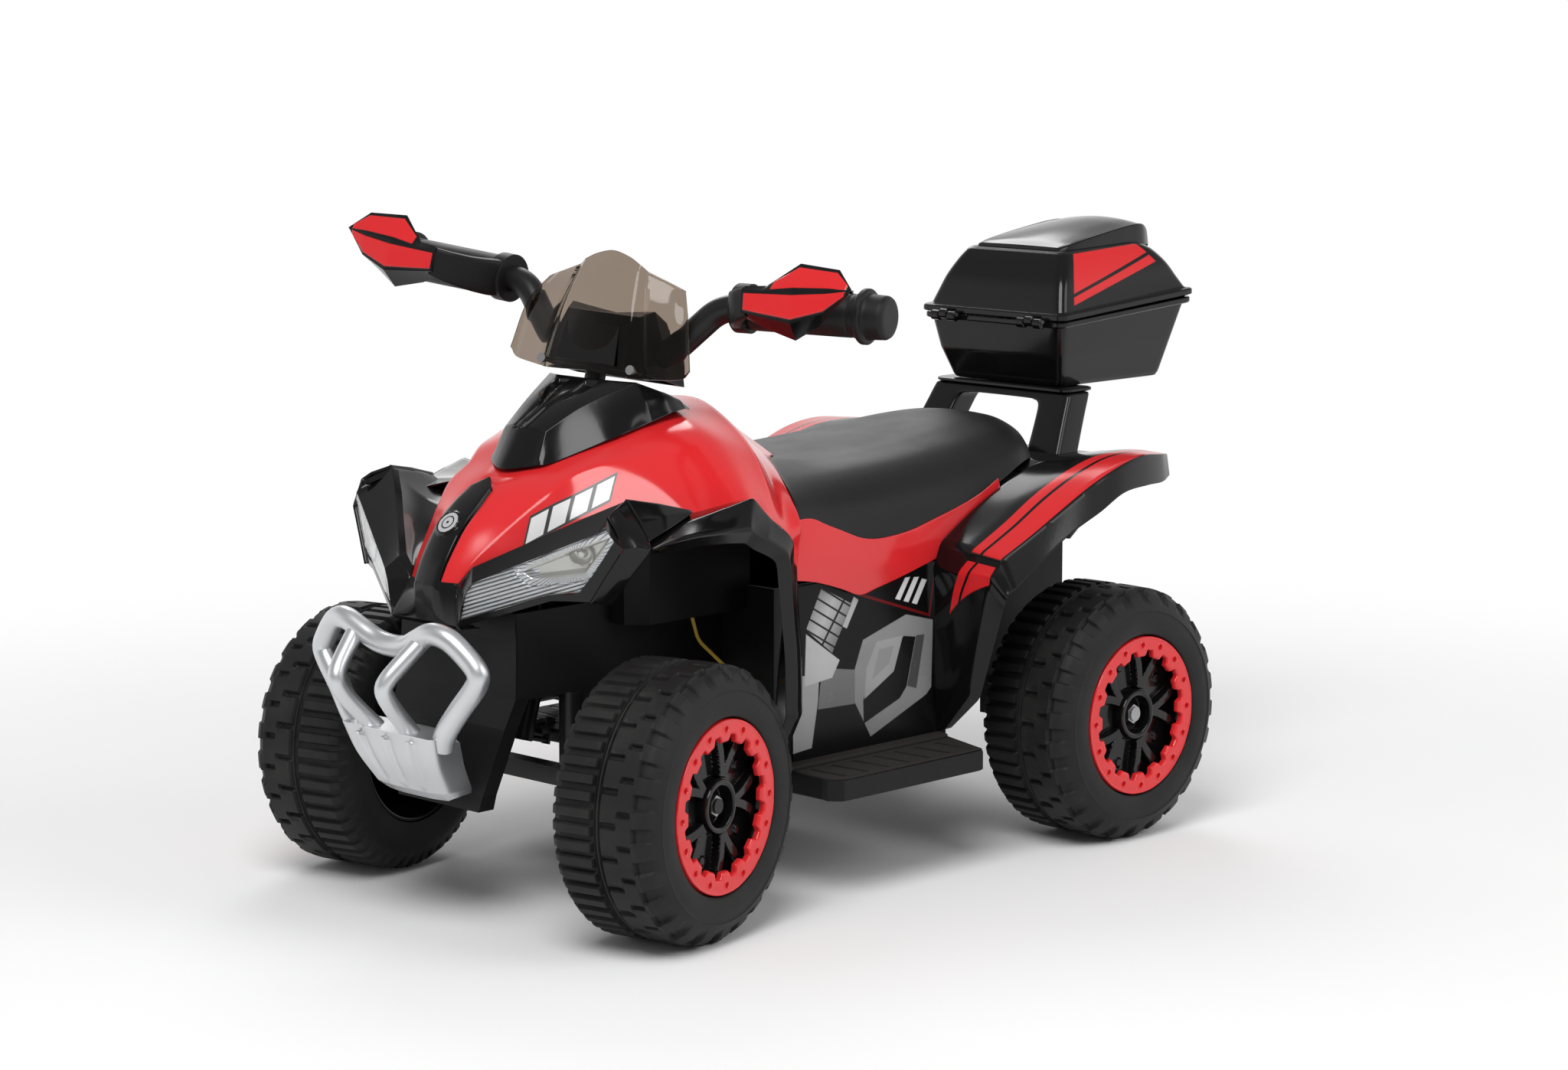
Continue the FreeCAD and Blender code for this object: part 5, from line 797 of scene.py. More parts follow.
basicFinish("badgedGloss", badgePaint, "blackGloss")
points = netOf(strip, (4,), (1, 5), whole=True)
badge = np.linalg.norm(points - np.array(strip["badge"]), axis=-1)
raised = 1.5 * softStep(9.4 - badge, 0.0, 1.0) - 0.7 * softStep(8.2 - badge, 0.0, 0.7)
points = points + raised[..., None] * np.array(strip["out"])
addPiece("nose_strip_skin", points, "badgedGloss", ["nose_strip"], wall=2.2, bevel=0.4, turn=True)
print("body: bonnet, bands, tank cover, nose strip")

# front cowl: lamp frames, pods behind them, overlay wings, fender bands and mud legs, chin

fender = {"rows": 150, "columns": 40, "net": (
    ((112, -240, 262), (136, -257, 255), (144, -263.7, 252.5), (136, -256, 249)),
    ((110, -222, 264), (133, -236.5, 260.2), (147, -245, 255.6), (140, -240, 249)),
    ((113, -206, 264.5), (134, -214, 264), (148.5, -225, 257.3), (142, -221, 250)),
    ((117, -190, 265.5), (138, -193.7, 268.5), (150, -202, 257.2), (144, -200, 249.5)),
    ((119, -166, 268), (141, -170.5, 273.4), (151, -180.6, 255.5), (145, -182, 248)),
    ((118.5, -146, 259), (144, -158.1, 259.6), (152, -170.9, 249.6), (146, -174, 243)),
    ((117, -124, 240), (148, -142.9, 246), (152.6, -152, 239), (147, -158, 235)),
    ((116, -112, 220), (150, -142.4, 231), (153, -147.6, 230), (147, -154, 228)),
    ((113, -112, 195), (150, -140, 200), (152.5, -145, 200), (147, -151, 200)),
    ((110, -114, 166), (150, -136.4, 168), (152, -141, 168), (147, -147, 168)),
    ((108, -116, 129), (148.5, -134, 129), (150, -138, 128.5), (145, -144, 128.5)),
    ((107, -117, 102), (125, -127, 97), (127, -131, 97), (124, -136, 97)),
)}
lampFrame = {
    "out": (0.514, -0.850, -0.113),
    "outer": ((22.3, -320.2, 222), (36, -318, 235.2), (53, -305, 245), (72.6, -289.9, 256.3),
              (92.3, -274.7, 267.7), (114.6, -259, 279.4), (120.2, -279, 272.1), (131.9, -276.1, 253.2),
              (120.4, -280.6, 235), (110.1, -285, 217.6), (99.2, -291.4, 217.6), (88.3, -297.8, 217.4),
              (61, -312.5, 207.4), (33.2, -328.2, 197.4), (27, -324, 210)),
    "lens": ((38, -327.1, 219), (43, -325, 226.3), (58, -317, 233.9), (78, -306.5, 243.3),
             (99.8, -294.8, 253.7), (118, -285.1, 262.2), (123.3, -282.3, 264.6),
             (127.1, -279.3, 257.4), (116, -283.8, 239), (104.9, -288.7, 223.8), (100.8, -290.9, 222.3),
             (86.7, -298.9, 221.1), (56.7, -315.2, 209.9), (33.6, -327.8, 201.5), (35.5, -327.6, 209.8)),
    "valley": ((24.4, -313, 221), (31.4, -303.5, 228), (46, -290, 233), (59, -272, 238),
               (71, -255, 246), (83, -238, 253), (102, -212, 257), (114, -196, 261)),
    "ridgeEnd": ((122, -229, 273.4), (126, -212, 268.4)),
    "sideSteps": 9, "lip": 5.0, "sink": (0.8, 5.0, 11.0, 15.0), "podSag": (0.0, 0.0, 4.0),
}
lampOut = np.array(lampFrame["out"])
frameEdge = lampFrame["outer"]
cheek = (
    frameEdge[6:10],
    ((119.2, -271, 276), (137.6, -269, 254), (126, -274.6, 235), (114, -279, 217)),
    ((114.6, -259, 279.4), (143.4, -262.8, 252.8), (131, -268.6, 235), (117, -272.6, 216.5)),
)
overlay = (
    ((114.6, -259, 279.4), (130, -262, 268), (140, -262.8, 256)),
    ((120, -236, 274.8), (131, -242, 268), (137, -246, 260.4)),
    ((126, -212, 268.4), (127, -212.6, 268), (127.6, -213, 267.6)),
)
chin = (
    ((0, -327.6, 224.2), (8.8, -327.0, 224.2), (22.3, -320.4, 223.6), (24, -314, 223.0)),
    ((0, -329, 221), (9, -328.6, 221), (23.4, -321.4, 220.8), (27, -316, 219.4)),
    ((0, -327.6, 198), (8.6, -327.8, 198), (32.7, -328.4, 198), (36, -321, 198.4)),
    ((0, -325, 195), (8.6, -325.2, 195), (32.4, -326, 195.2), (36, -319, 196)),
    ((0, -311, 193.5), (9, -311, 193.5), (32, -312, 194), (36, -312, 195)),
)
cowlEdge = {"wall": 2.4, "bevel": 0.7, "sharp": 24.0}


def straightLoop(corners):
    # closed loop of straight sides through the corners, the same number of points on each side
    n = len(corners)
    return spread(corners + corners[:1], n * lampFrame["sideSteps"] + 1, 0, range(n + 1))[:-1]


def lampSurround():
    # flat facets from the outer loop to the lens, turned back at the outer edge and sunk behind the lens
    outer, lens = straightLoop(frameEdge), straightLoop(lampFrame["lens"])
    t = np.linspace(0.0, 1.0, 7)[:, None, None]
    lip = outer - lampOut * lampFrame["lip"] + (outer.mean(0) - outer) * 0.05
    sink = np.stack([lens - lampOut * depth for depth in lampFrame["sink"]])
    return np.concatenate([lip[None], outer * (1 - t) + lens * t, sink])


ridge, valley = np.array(frameEdge[:6] + lampFrame["ridgeEnd"]), np.array(lampFrame["valley"])
pod = surface(np.stack([ridge, (ridge + valley) / 2 - lampFrame["podSag"], valley], axis=1), 71, 15, (1, 5))
addPair("front_fender", netOf(fender, (4, 7, 10), (1, 2)), "blackGloss", ["front_cowl"], wall=2.8, bevel=0.7)
addPair("lamp_frame", lampSurround(), "blackGloss", ["front_cowl"], sharp=24.0, closeV=True)
cowlPieces = {"lamp_cheek": facets(cheek, 6, 8), "lamp_overlay": facets(overlay, 8, 8), "lamp_pod": pod}
for name, points in cowlPieces.items():
    addPair(name, points, "blackGloss", ["front_cowl"], even=False, **cowlEdge)
addPiece("cowl_chin", facets(acrossMiddle(chin), 8, 8), "blackGloss", ["front_cowl"], **cowlEdge)

# head lamps: clear lens with ribs along its lower edge, bright reflector with a toothed rim round a window

lamp = {"rows": 161, "columns": 90, "rib": 0.06, "ribPitch": 2.5, "depth": 3.6,
        "bottom": ((33.6, -327.8, 201.5), (43, -322.6, 204.5), (56.7, -315.2, 209.9),
                   (72, -306.9, 215.8), (86.7, -298.9, 221.1), (95, -294.2, 222.3),
                   (104.9, -288.7, 223.8), (112, -285.4, 232.4), (127.1, -279.3, 257.4)),
        "top": ((38, -327.1, 219), (43.6, -324.7, 226.8), (56, -318.1, 233), (68, -311.8, 238.6),
                (81.7, -304.5, 245.1), (92, -299, 250), (103, -293.1, 255.2), (113.4, -287.6, 260),
                (123.3, -282.3, 264.6)),
        "window": ((65.2, 237.5), (67.4, 231.9), (74, 226.7), (80.2, 226.5), (109, 231.9),
                   (127.1, 257.4), (123.3, 264.6)),
        "windowMiddle": (97.0, 242.0), "teeth": 74, "bulb": (103.5, 246.5)}
relief = {"lensDepth": 0.4, "lensCrown": 1.5, "border": 0.5, "bowlShrink": 0.985, "bowlRib": 1.5, "rim": 4.6,
          "tooth": 2.0, "toothSlope": 0.42, "toothShare": 0.28, "toothPitch": 2.1, "basin": -7.0,
          "heartShade": (0.76, 0.70)}
# round the bulb: radius, flank and height of each step
bulbSteps = ((7.4, 0.8, 3.4), (6.0, 0.8, -3.4), (5.6, 3.0, -2.2), (2.5, 1.2, 4.2))
ribsFrom = np.array(lamp["bottom"][0])
acrossRibs = np.cross(unit(np.array(lamp["bottom"][4]) - ribsFrom), lampOut)


def lampSheet(depth, crown, shrink=1.0):
    # straight rulings between the lower and upper edges, bulged by a sine, set back along the lens normal
    low, high = (spread(lamp[key], lamp["rows"], 0, range(9))[:, None] for key in ("bottom", "top"))
    u, v = np.linspace(0, 1, lamp["rows"])[:, None, None], np.linspace(0, 1, lamp["columns"])[None, :, None]
    sheet = low * (1 - v) + high * v
    middle = sheet.mean((0, 1))
    bulge = crown * np.sin(np.pi * v) ** 0.6 * np.sin(np.pi * np.clip(u, 0.02, 0.98)) ** 0.4
    return middle + (sheet - middle) * shrink + (bulge - depth) * lampOut


def windowDepth(points):
    # in the x-z plane, the least of the distances inside the window's sides, and the distance along that side
    corners = np.array(lamp["window"], float)
    ahead = np.roll(corners, -1, axis=0) - corners
    length = np.linalg.norm(ahead, axis=1)
    p = points[..., None, [0, 2]] - corners
    inside = (ahead[:, 0] * p[..., 1] - ahead[:, 1] * p[..., 0]) / length
    run = (p[..., 0] * ahead[:, 0] + p[..., 1] * ahead[:, 1]) / length
    return inside.min(-1), np.take_along_axis(run, inside.argmin(-1)[..., None], -1)[..., 0]


def ribWave(sheet):
    return np.abs(np.sin(np.pi * ((sheet - ribsFrom) @ acrossRibs) / lamp["ribPitch"]))


def bowlShadePaint(start, place, colour, rough):
    # painted shade: dark lines in the grooves between the ribs outside the window, dark gaps between the teeth
    # round it, and a darker warm basin in the heart of the window
    x, y, z = inMillimetres(place)
    gap = start.maths("PINGPONG", distanceAlong((x, y, z), acrossRibs, ribsFrom) / lamp["ribPitch"], 0.5)
    window = withinShape(x, z, lamp["window"], 0.4)
    # painted shade in the grooves between the ribs
    line = (1.0 - gap.above(0.17, 0.07)) * (1.0 - window)
    xm, zm = lamp["windowMiddle"]
    wide, high = relief["heartShade"]
    inner = tuple((xm + (a - xm) * wide, zm + (b - zm) * high) for a, b in lamp["window"])
    heartShade = withinShape(x, z, inner, 0.4)
    angle = start.maths("ARCTAN2", z - zm, x - xm)
    tooth = start.maths("PINGPONG", angle * (lamp["teeth"] / fullTurn), 0.5)
    # painted shade in the gaps between the teeth of the rim
    toothShade = (1.0 - tooth.above(0.15, 0.06)) * window * (1.0 - heartShade)
    # painted shade darkens the basin in the heart of the window
    colour = (heartShade * 0.8).mix(colour, rgba((0.62, 0.60, 0.55)))
    return (line * 0.9 + toothShade * 0.8).mix(colour, rgba((0.13, 0.145, 0.175))), rough


basicFinish("bowlBright", bowlShadePaint, "brightPlate")
sheet = lampSheet(relief["lensDepth"], relief["lensCrown"])
inWindow = windowDepth(sheet)[0]
ribs = lamp["rib"] * ribWave(sheet) * (1 - softStep(inWindow, -1.6, 0.8))
raised = ribs + relief["border"] * span(inWindow, -1.4, 0.2, 0.9)
addPair("lamp_lens", sheet + raised[..., None] * lampOut, "lensClear", ["headlamp_lenses"], wall=1.0)
bowl = lampSheet(lamp["depth"], 0.0, relief["bowlShrink"])
inWindow, run = windowDepth(bowl)
ribs = relief["bowlRib"] * ribWave(bowl) * (1 - softStep(inWindow, -0.6, 0.8))
slope = relief["tooth"] - relief["toothSlope"] * np.clip(inWindow, 0, relief["rim"])
notch = 1 - relief["toothShare"] * (1 - squareWave(run / relief["toothPitch"], 0.5, 0.3))
teeth = slope * notch * span(inWindow, 0.0, relief["rim"], 0.8, 0.9)
basin = relief["basin"] * softStep(inWindow, 5.2, 1.6)
fromBulb = np.hypot(bowl[..., 0] - lamp["bulb"][0], bowl[..., 2] - lamp["bulb"][1])
socket = sum(height * softStep(radius - fromBulb, 0.0, flank) for radius, flank, height in bulbSteps)
raised = ribs + teeth + basin + socket * softStep(inWindow, 4.0, 2.0)
addPair("lamp_bowl", bowl + raised[..., None] * lampOut, "bowlBright", ["headlamp_reflectors"], wall=0.8,
        sharp=50.0, even=False)
print("front: cowl, lamp surrounds, lenses, reflectors")

# seat: one moulded form, crowned across, its sides drawn in to the bands

seat = {"rows": 110, "columns": 120, "net": (
    ((0, -12.0, 275.2), (24, -37.0, 278.2), (46, -57.0, 279.0), (76, -77.0, 272.2), (99, -90.0, 262.3),
     (111.6, -97.0, 249.5)),
    ((0, 12, 275.2), (22, 4, 275.6), (45, -10, 275.4), (75, -28, 271.5), (100, -42, 256),
     (111.4, -52, 232.6)),
    ((0, 50, 278.6), (22, 48, 278.4), (45, 43, 277.4), (74, 36, 273.4), (98, 28, 257), (109.6, 18, 229.4)),
    ((0, 95, 283.4), (21, 94, 283), (43, 91, 281.8), (71, 86, 276.6), (94, 79, 262), (106.8, 72, 241.6)),
    ((0, 135, 288.2), (20, 134, 287.8), (41, 132, 286.2), (68, 127, 280), (89, 120, 268), (102, 115, 254.6)),
    ((0, 168, 291.2), (19, 168, 290.8), (38, 166, 289), (62, 161, 283), (81, 155, 273), (91.5, 150, 262.8)),
    ((0, 190, 289), (18, 190, 288.6), (35, 189, 286.8), (55, 185, 281), (69, 180, 272.5), (77, 176, 263.4)),
    ((0, 202.4, 277.5), (17, 202.3, 277.2), (32, 201.2, 276), (48, 198, 272.6), (59, 193, 267.8),
     (65, 190, 263.6)),
    ((0, 204.6, 263.4), (17, 204.4, 263.4), (32, 203.2, 263.4), (48, 200, 263.4), (58.5, 195, 263.4),
     (64, 191, 263.4)),
)}
addPiece("seat_skin", netOf(seat, whole=True), "seatGrain", ["seat"], wall=3.0, bevel=0.9, turn=True)

# rear fender: wings with painted stripes, deck and tail

wing = {"rows": 130, "columns": 40, "net": (
    ((106, 46, 85), (108, 47.5, 86), (110.5, 49, 87), (112.5, 54, 88)),
    ((107.5, 43, 112), (121, 45, 112.5), (133.5, 48.5, 113), (138, 55, 112)),
    ((111, 40, 172), (132, 40.5, 177), (154.5, 43.6, 181), (162, 50, 172)),
    ((110.5, 39, 205), (138, 38.5, 203.5), (160, 42, 201.5), (168.6, 48.6, 188)),
    ((110, 44, 216.5), (140, 43, 214.5), (163, 47, 211), (168.6, 52, 190)),
    ((110, 78, 236), (140, 78, 231), (164, 78, 224.5), (169.4, 78, 206)),
    ((109, 110, 250), (138, 110, 246), (164, 110, 239), (170, 110, 223.4)),
    ((107, 142, 260), (137, 142, 258), (164, 141, 252.6), (170.2, 143, 236.2)),
    ((105, 175, 264), (136, 175, 266), (164, 173, 263.6), (169, 170, 247)),
    ((105, 205, 264), (136, 205, 268), (160.6, 201, 268), (165.4, 199, 249)),
    ((105, 228, 264), (134, 230, 267), (155, 226, 266.4), (159.6, 223, 248.6)),
    ((105, 244, 262.4), (130, 245, 264.6), (148, 243, 264.6), (152, 241, 251)),
)}
# shares along and across the wing
stripes = {"bend": (0.326, 0.366), "thin": (0.335, 0.425), "wide": (0.455, 0.655), "lean": 0.75,
           "foot": 0.176, "footAt": 0.226, "footSlope": 0.1375, "end": 0.985,
           "soft": 0.004, "endSoft": 0.003, "bendSoft": 0.002}
deck = {"rows": 50, "columns": 40, "net": (
    ((0, 150, 258.6), (55, 150, 258.6), (107, 150, 258.6)),
    ((0, 176, 262), (55, 176, 262), (106, 176, 262.4)),
    ((0, 238, 262), (55, 238, 262), (106, 238, 262.4)),
    ((0, 247, 258), (53, 246.5, 258), (105, 244.5, 259)),
    ((0, 250, 240), (50, 249, 240), (98, 246, 240)),
    ((0, 241, 195), (32, 241, 195), (62, 240, 195)),
)}


def stripePaint(start, place, colour, rough):
    # two red stripes along the wing, split by a thin dark line, broken by a dark band at the bend
    along, across = mapParts(start)
    lean = across + start.maths("MAXIMUM", stripes["bend"][0] - along, 0.0) * stripes["lean"]
    thin = lean.between(*stripes["thin"], stripes["soft"])
    low, high = stripes["wide"]
    wide = lean.above(low, stripes["soft"]) * (1.0 - across.above(high, stripes["soft"]))
    leg = along - (across - stripes["footAt"]) * stripes["footSlope"]
    leg = leg.above(stripes["foot"], stripes["endSoft"])
    unbroken = 1.0 - along.between(*stripes["bend"], stripes["bendSoft"])
    mask = (thin + wide) * leg * unbroken * (1.0 - along.above(stripes["end"], stripes["endSoft"]))
    return mask.mix(colour, printRed), rough + mask * 0.03


basicFinish("stripedGloss", stripePaint, "blackGloss")
addPair("rear_wing", netOf(wing, (1, 3, 4), (2,)), "stripedGloss", ["rear_fender"], wall=2.8, bevel=0.6,
        printed=1)
addPiece("rear_deck", netOf(deck, (1, 2), whole=True), "blackGloss", ["rear_fender"], wall=3.0, bevel=0.6,
         turn=True)
print("rear: seat, striped wings, deck")

# top case

caseForm = {
    "corner": 6.5, "cornerPoints": 9, "sidePoints": 24, "rows": 121,
    "lidCreases": (0, 1, 2, 3, 4, 5, 9, 10, 11),
    # half width, front, back, height at the front, height at the back; the lid adds how far its back bows out
    "base": ((20, 270, 320, 307, 307), (51, 238, 350.5, 307, 307), (52.6, 236.4, 352, 307.6, 307.6),
             (54, 235, 353.6, 310, 310.5), (60, 227.4, 361, 330, 338), (63.6, 224.2, 367.2, 348, 357.5),
             (64.4, 223.6, 368.6, 351.6, 361.6), (67.6, 221, 371.4, 352.2, 362.2),
             (68.5, 220.4, 372.2, 353, 363.2), (68.5, 220.4, 372.2, 355.8, 366.2),
             (67.8, 221, 371.6, 356.4, 366.8), (66.2, 222.6, 369.8, 356.4, 366.8),
             (62, 226.4, 366, 350, 359.6), (57.6, 230, 358, 330, 338), (50.4, 239, 349.6, 311, 311),
             (48, 241, 347, 309.8, 309.8), (10, 280, 310, 309.6, 309.6)),
    "lid": ((69.2, 219.2, 372.4, 357.4, 368.6, 0), (70, 218.7, 373, 358, 369.2, 0),
            (70, 218.7, 373, 361, 372.4, 0), (69.2, 219.4, 372.2, 361.9, 373.3, 0),
            (66.4, 222.4, 369.6, 362.2, 373.6, 0), (65.4, 223.6, 368.4, 363.2, 374.6, 0),
            (62.5, 227, 363, 372, 382, 4), (58.5, 232, 355, 384, 393, 8),
            (53, 239, 345, 396, 402.5, 14), (48.5, 244.3, 337, 403.5, 407, 18),
            (46.3, 246.8, 334, 405.3, 408, 20), (42, 250.6, 330, 405.9, 408.6, 20),
            (20, 268, 312, 406.4, 409, 12)),
    # raised panel of the lid: length, height in the middle, height at the edge, half width
    "panel": ((249, 402.5, 402.5, 40.6), (250.4, 408.4, 408, 40), (262, 412, 410.6, 41.5),
              (285, 417.4, 414.4, 41.5), (310, 422, 418, 41), (330, 424.6, 420.4, 40.5),
              (345, 424.8, 421, 39.6), (355, 421, 418, 36), (360, 415.6, 413.4, 33), (362.4, 404, 402, 31)),
}
# shares round the lid, then straight edges in metres as factors of length and height, and the sum there
casePrint = {"sides": ((0.3215, 0.4965), (0.8215, 0.9965)),
             "within": ((1.0, -0.263, 0.1341), (-0.2588, 1.0, 0.3060)),
             "short": ((-0.05, 1.0, 0.3910), (0.741, 0.671, 0.5166)), "line": (-0.27, 1.0, 0.3084, 0.3108)}
hinge = {"around": 28, "y": 215.5, "z": 356.6, "strap": (3.4, 1.8), "step": 8.0, "drop": -1.4,
         "ends": ((-3.6, 3.3), (-3.2, 3.8), (3.2, 3.8), (3.6, 3.3))}


def roundedLoop(half, front, back, zFront, zBack, bow=0.0):
    # rectangle with round corners, even points on each side and corner; its height runs from front to
    # back, its back bows out
    corner = min(caseForm["corner"], 0.45 * half, 0.45 * (back - front))
    x0, yBack, yFront = half - corner, back - corner, front + corner
    arcs = []
    for k, middle in enumerate(((x0, yBack), (-x0, yBack), (-x0, yFront), (x0, yFront))):
        a = (k + np.linspace(0.0, 1.0, caseForm["cornerPoints"])) * np.pi / 2
        arcs.append(np.array(middle) + corner * np.stack([np.cos(a), np.sin(a)], -1))
    t = np.linspace(0.0, 1.0, caseForm["sidePoints"] + 2)[1:-1, None]
    straights = [arc[-1] * (1 - t) + after[0] * t for arc, after in zip(arcs, arcs[1:] + arcs[:1])]
    x, y = np.concatenate([part for both in zip(arcs, straights) for part in both]).T
    share = (y - front) / (back - front)
    return np.stack([x, y + bow * share**5 * (1 - (x / half) ** 2), zFront + (zBack - zFront) * share], -1)


def stackLoops(levels):
    return np.stack([roundedLoop(*level) for level in levels])


def casePaint(start, place, colour, rough):
    # red panel on the side faces between four straight edges, with one thin dark line across it
    y, z, turn = place.part(1), place.part(2), mapParts(start)[1]
    left, right = (turn.between(*ends, 0.0008) for ends in casePrint["sides"])
    fy, fz, low, high = casePrint["line"]
    mask = (left + right) * (1.0 - (y * fy + z * fz).between(low, high, 0.0003))
    for fy, fz, level in casePrint["within"]:
        mask = mask * (y * fy + z * fz).above(level, 0.0004)
    for fy, fz, level in casePrint["short"]:
        mask = mask * (1.0 - (y * fy + z * fz).above(level, 0.0004))
    return mask.mix(colour, printRed), rough + mask * 0.03


def panelRow(y, zMiddle, zEdge, half):
    # from the middle of the raised panel to its edge and down to the lid
    foot = 401.0 + 0.04 * (y - 250)
    return ((0, y, zMiddle), (0.5 * half, y, zMiddle + 0.3 * (zEdge - zMiddle)), (half - 2.4, y, zEdge),
            (half, y, zEdge - 1.4), (half + 1.2, y, foot))


def knuckle(x0, drop=0.0):
    # barrel round the hinge pin with a strap onto the flange
    t = around(hinge["around"])
    x, r = np.array(hinge["ends"]).T[..., None]
    reach = np.clip(np.cos(t), 0, 1) ** 3
    yStrap, zStrap = hinge["strap"]
    y, z = hinge["y"] + r * np.cos(t) + yStrap * reach, hinge["z"] + drop + r * np.sin(t) + zStrap * reach
    return np.stack([x + x0 + 0 * t, y, z], -1)


basicFinish("caseGloss", casePaint, "blackGloss")
base, lid = stackLoops(caseForm["base"]), stackLoops(caseForm["lid"])
base = spread(base, caseForm["rows"], 0, range(len(base)))
lid = spread(lid, caseForm["rows"], 0, caseForm["lidCreases"])
addPiece("top_case_base_skin", base, "blackGloss", ["top_case_base"], sharp=24.0, turn=True, **tube)
addPiece("top_case_lid_skin", lid, "caseGloss", ["top_case_lid"], "case_lid", wall=2.2, sharp=24.0,
         even=False, printed=0, closeV=True, capEnd=True, turn=True)
points = surface(acrossMiddle([panelRow(*row) for row in caseForm["panel"]]), 100, 90, (1, 8), (2, 6))
addPiece("lid_panel", points, "blackGloss", ["top_case_lid"], "case_lid", sharp=30.0, turn=True)
hingeEdge = {"sharp": 40.0, "turn": True, **tube}
for side, x0 in (("left", 42.0), ("right", -42.0)):
    addPiece("lid_knuckle_" + side, knuckle(x0), "blackGloss", ["top_case_lid"], "case_lid", **hingeEdge)
    for place, step in (("in", -hinge["step"]), ("out", hinge["step"])):
        name = "_".join(("base_knuckle", side, place))
        addPiece(name, knuckle(x0 + step, hinge["drop"]), "blackGloss", ["top_case_base"], **hingeEdge)
print("top case: base, lid, hinges")

# rack: one flat strap bent into an arch, its feet spread and set forward, with a thin plate on top

rack = {
    # x and z of the outer edge, x and z of the inner edge, depth along the bike
    "arch": ((75, 261, 44, 261, 25), (71.6, 276, 42.2, 275, 25), (68.6, 290, 40.4, 287, 25),
             (66.8, 299, 39, 293, 25), (65, 303, 36.6, 296, 25), (58, 303.6, 33, 297, 25),
             (44, 303.7, 28, 297.6, 25), (0, 303.7, 0, 297.8, 25)),
    "foot": (221.0, 261.0), "lean": 0.56,
    "plate": ((63.6, 231, 261, 303.8, 303.8), (65, 229.6, 262.4, 304.6, 304.6),
              (65, 229.6, 262.4, 306.2, 306.2), (63.6, 231, 261, 306.9, 306.9))}
# a box section between the outer and the inner edge; it leans back in proportion to its height
half = np.array(rack["arch"], float)
strap = spread(np.concatenate([half, half[-2::-1] * (-1, 1, -1, 1, 1)]), 96, 0)[:, None]
profile = boxProfile(9.0, 56)[None]
flat = strap[..., 2:4] + (strap[..., :2] - strap[..., 2:4]) * (profile[..., :1] + 0.5)
back = rack["foot"][0] + (flat[..., 1] - rack["foot"][1]) * rack["lean"] + strap[..., 4] * profile[..., 1]
points = np.stack([flat[..., 0], back, flat[..., 1]], -1)
addPiece("rack_arch", points, "blackGloss", ["rear_rack"], turn=True, **tube)
addPiece("rack_plate", stackLoops(rack["plate"]), "blackGloss", ["rear_rack"], sharp=30.0, turn=True, **tube)
print("rack: arch, plate")

# front bumper: bent silver tube with two inner legs over a ribbed plate

bumper = {"radius": 7.4, "around": 22, "steps": 150,
          "tube": ((41, -349, 124), (47.5, -351.4, 134.6), (60, -350.4, 150.6), (73.5, -349.5, 166),
                   (77, -349.5, 174), (72.5, -350.6, 181.5), (60, -354.5, 193), (50, -357, 197.6),
                   (40, -358, 197.4), (28, -357, 192.2), (14, -354.6, 186), (0, -353.6, 184.4)),
          "legRadius": 6.0,
          "leg": ((33.4, -355, 194.6), (30.2, -365, 184.8), (27.2, -374, 176), (24.8, -380, 169),
                  (23.4, -382, 163.4), (22.8, -379.4, 157), (21.6, -372, 147.6), (19.4, -361, 136),
                  (18, -354, 129)),
          "plate": (((0, -342, 133), (24, -342, 133), (41, -342, 132.4), (43.6, -341, 131),
                    (44.4, -340, 127.4)),
                    ((0, -364.2, 131), (24, -364.2, 131), (41.5, -362.8, 130.5), (45.4, -358.8, 130),
                     (45, -338, 125.6)),
                    ((0, -356.4, 110), (21, -356.4, 110), (37.6, -354.8, 110), (41, -350.8, 110),
                     (40.8, -331, 109)),
                    ((0, -344, 90), (17, -344, 90), (31.6, -342.6, 90.4), (35.6, -338.8, 91),
                     (35.2, -320, 91.5)),
                    ((0, -336.6, 84), (16, -336.2, 84), (29.5, -335, 84.6), (33.4, -332, 86.6),
                     (33.4, -319, 88)))}
# upright ribs of the plate, which narrow downwards with it
plateRibs = {"at": (-26.0, 0.0, 26.0), "narrow": 0.0072, "top": 131.0, "middle": 109, "half": 14.5,
             "radius": 3.0, "flank": 2.2, "rise": 4.2, "out": (0.0, -0.92, 0.38)}
half = np.array(bumper["tube"], float)
bend = spread(np.concatenate([half, half[-2::-1] * (-1, 1, 1)]), bumper["steps"], 0)
points = alongPath(bend, roundProfile(bumper["radius"], bumper["around"]))
addPiece("bumper_tube", points, "silverPaint", ["front_bumper"], **tube)
points = alongPath(spread(bumper["leg"], 70, 0), roundProfile(bumper["legRadius"], bumper["around"]))
addPair("bumper_leg", points, "silverPaint", ["front_bumper"], **tube)
points = surface(acrossMiddle(bumper["plate"]), 130, 200, (1, 3), (2, 6))
x, y, z = np.moveaxis(points, -1, 0)
x = x / (1.0 - plateRibs["narrow"] * (plateRibs["top"] - z))
beyond = np.maximum(np.abs(z - plateRibs["middle"]) - plateRibs["half"], 0.0)
inside = [plateRibs["radius"] - np.hypot(x - x0, beyond) for x0 in plateRibs["at"]]
ribs = softStep(highest(*inside), 0.0, plateRibs["flank"])
front = softStep(-y - 0.42 * z, 301.0, 3.0)
points = points + (plateRibs["rise"] * ribs * front)[..., None] * np.array(plateRibs["out"])
addPiece("bumper_plate", points, "silverPaint", ["front_bumper"], wall=3.0, bevel=0.8)
print("bumper: tube, legs, plate")

# windscreen: smoked moulding with a raised middle panel and a dark plaque

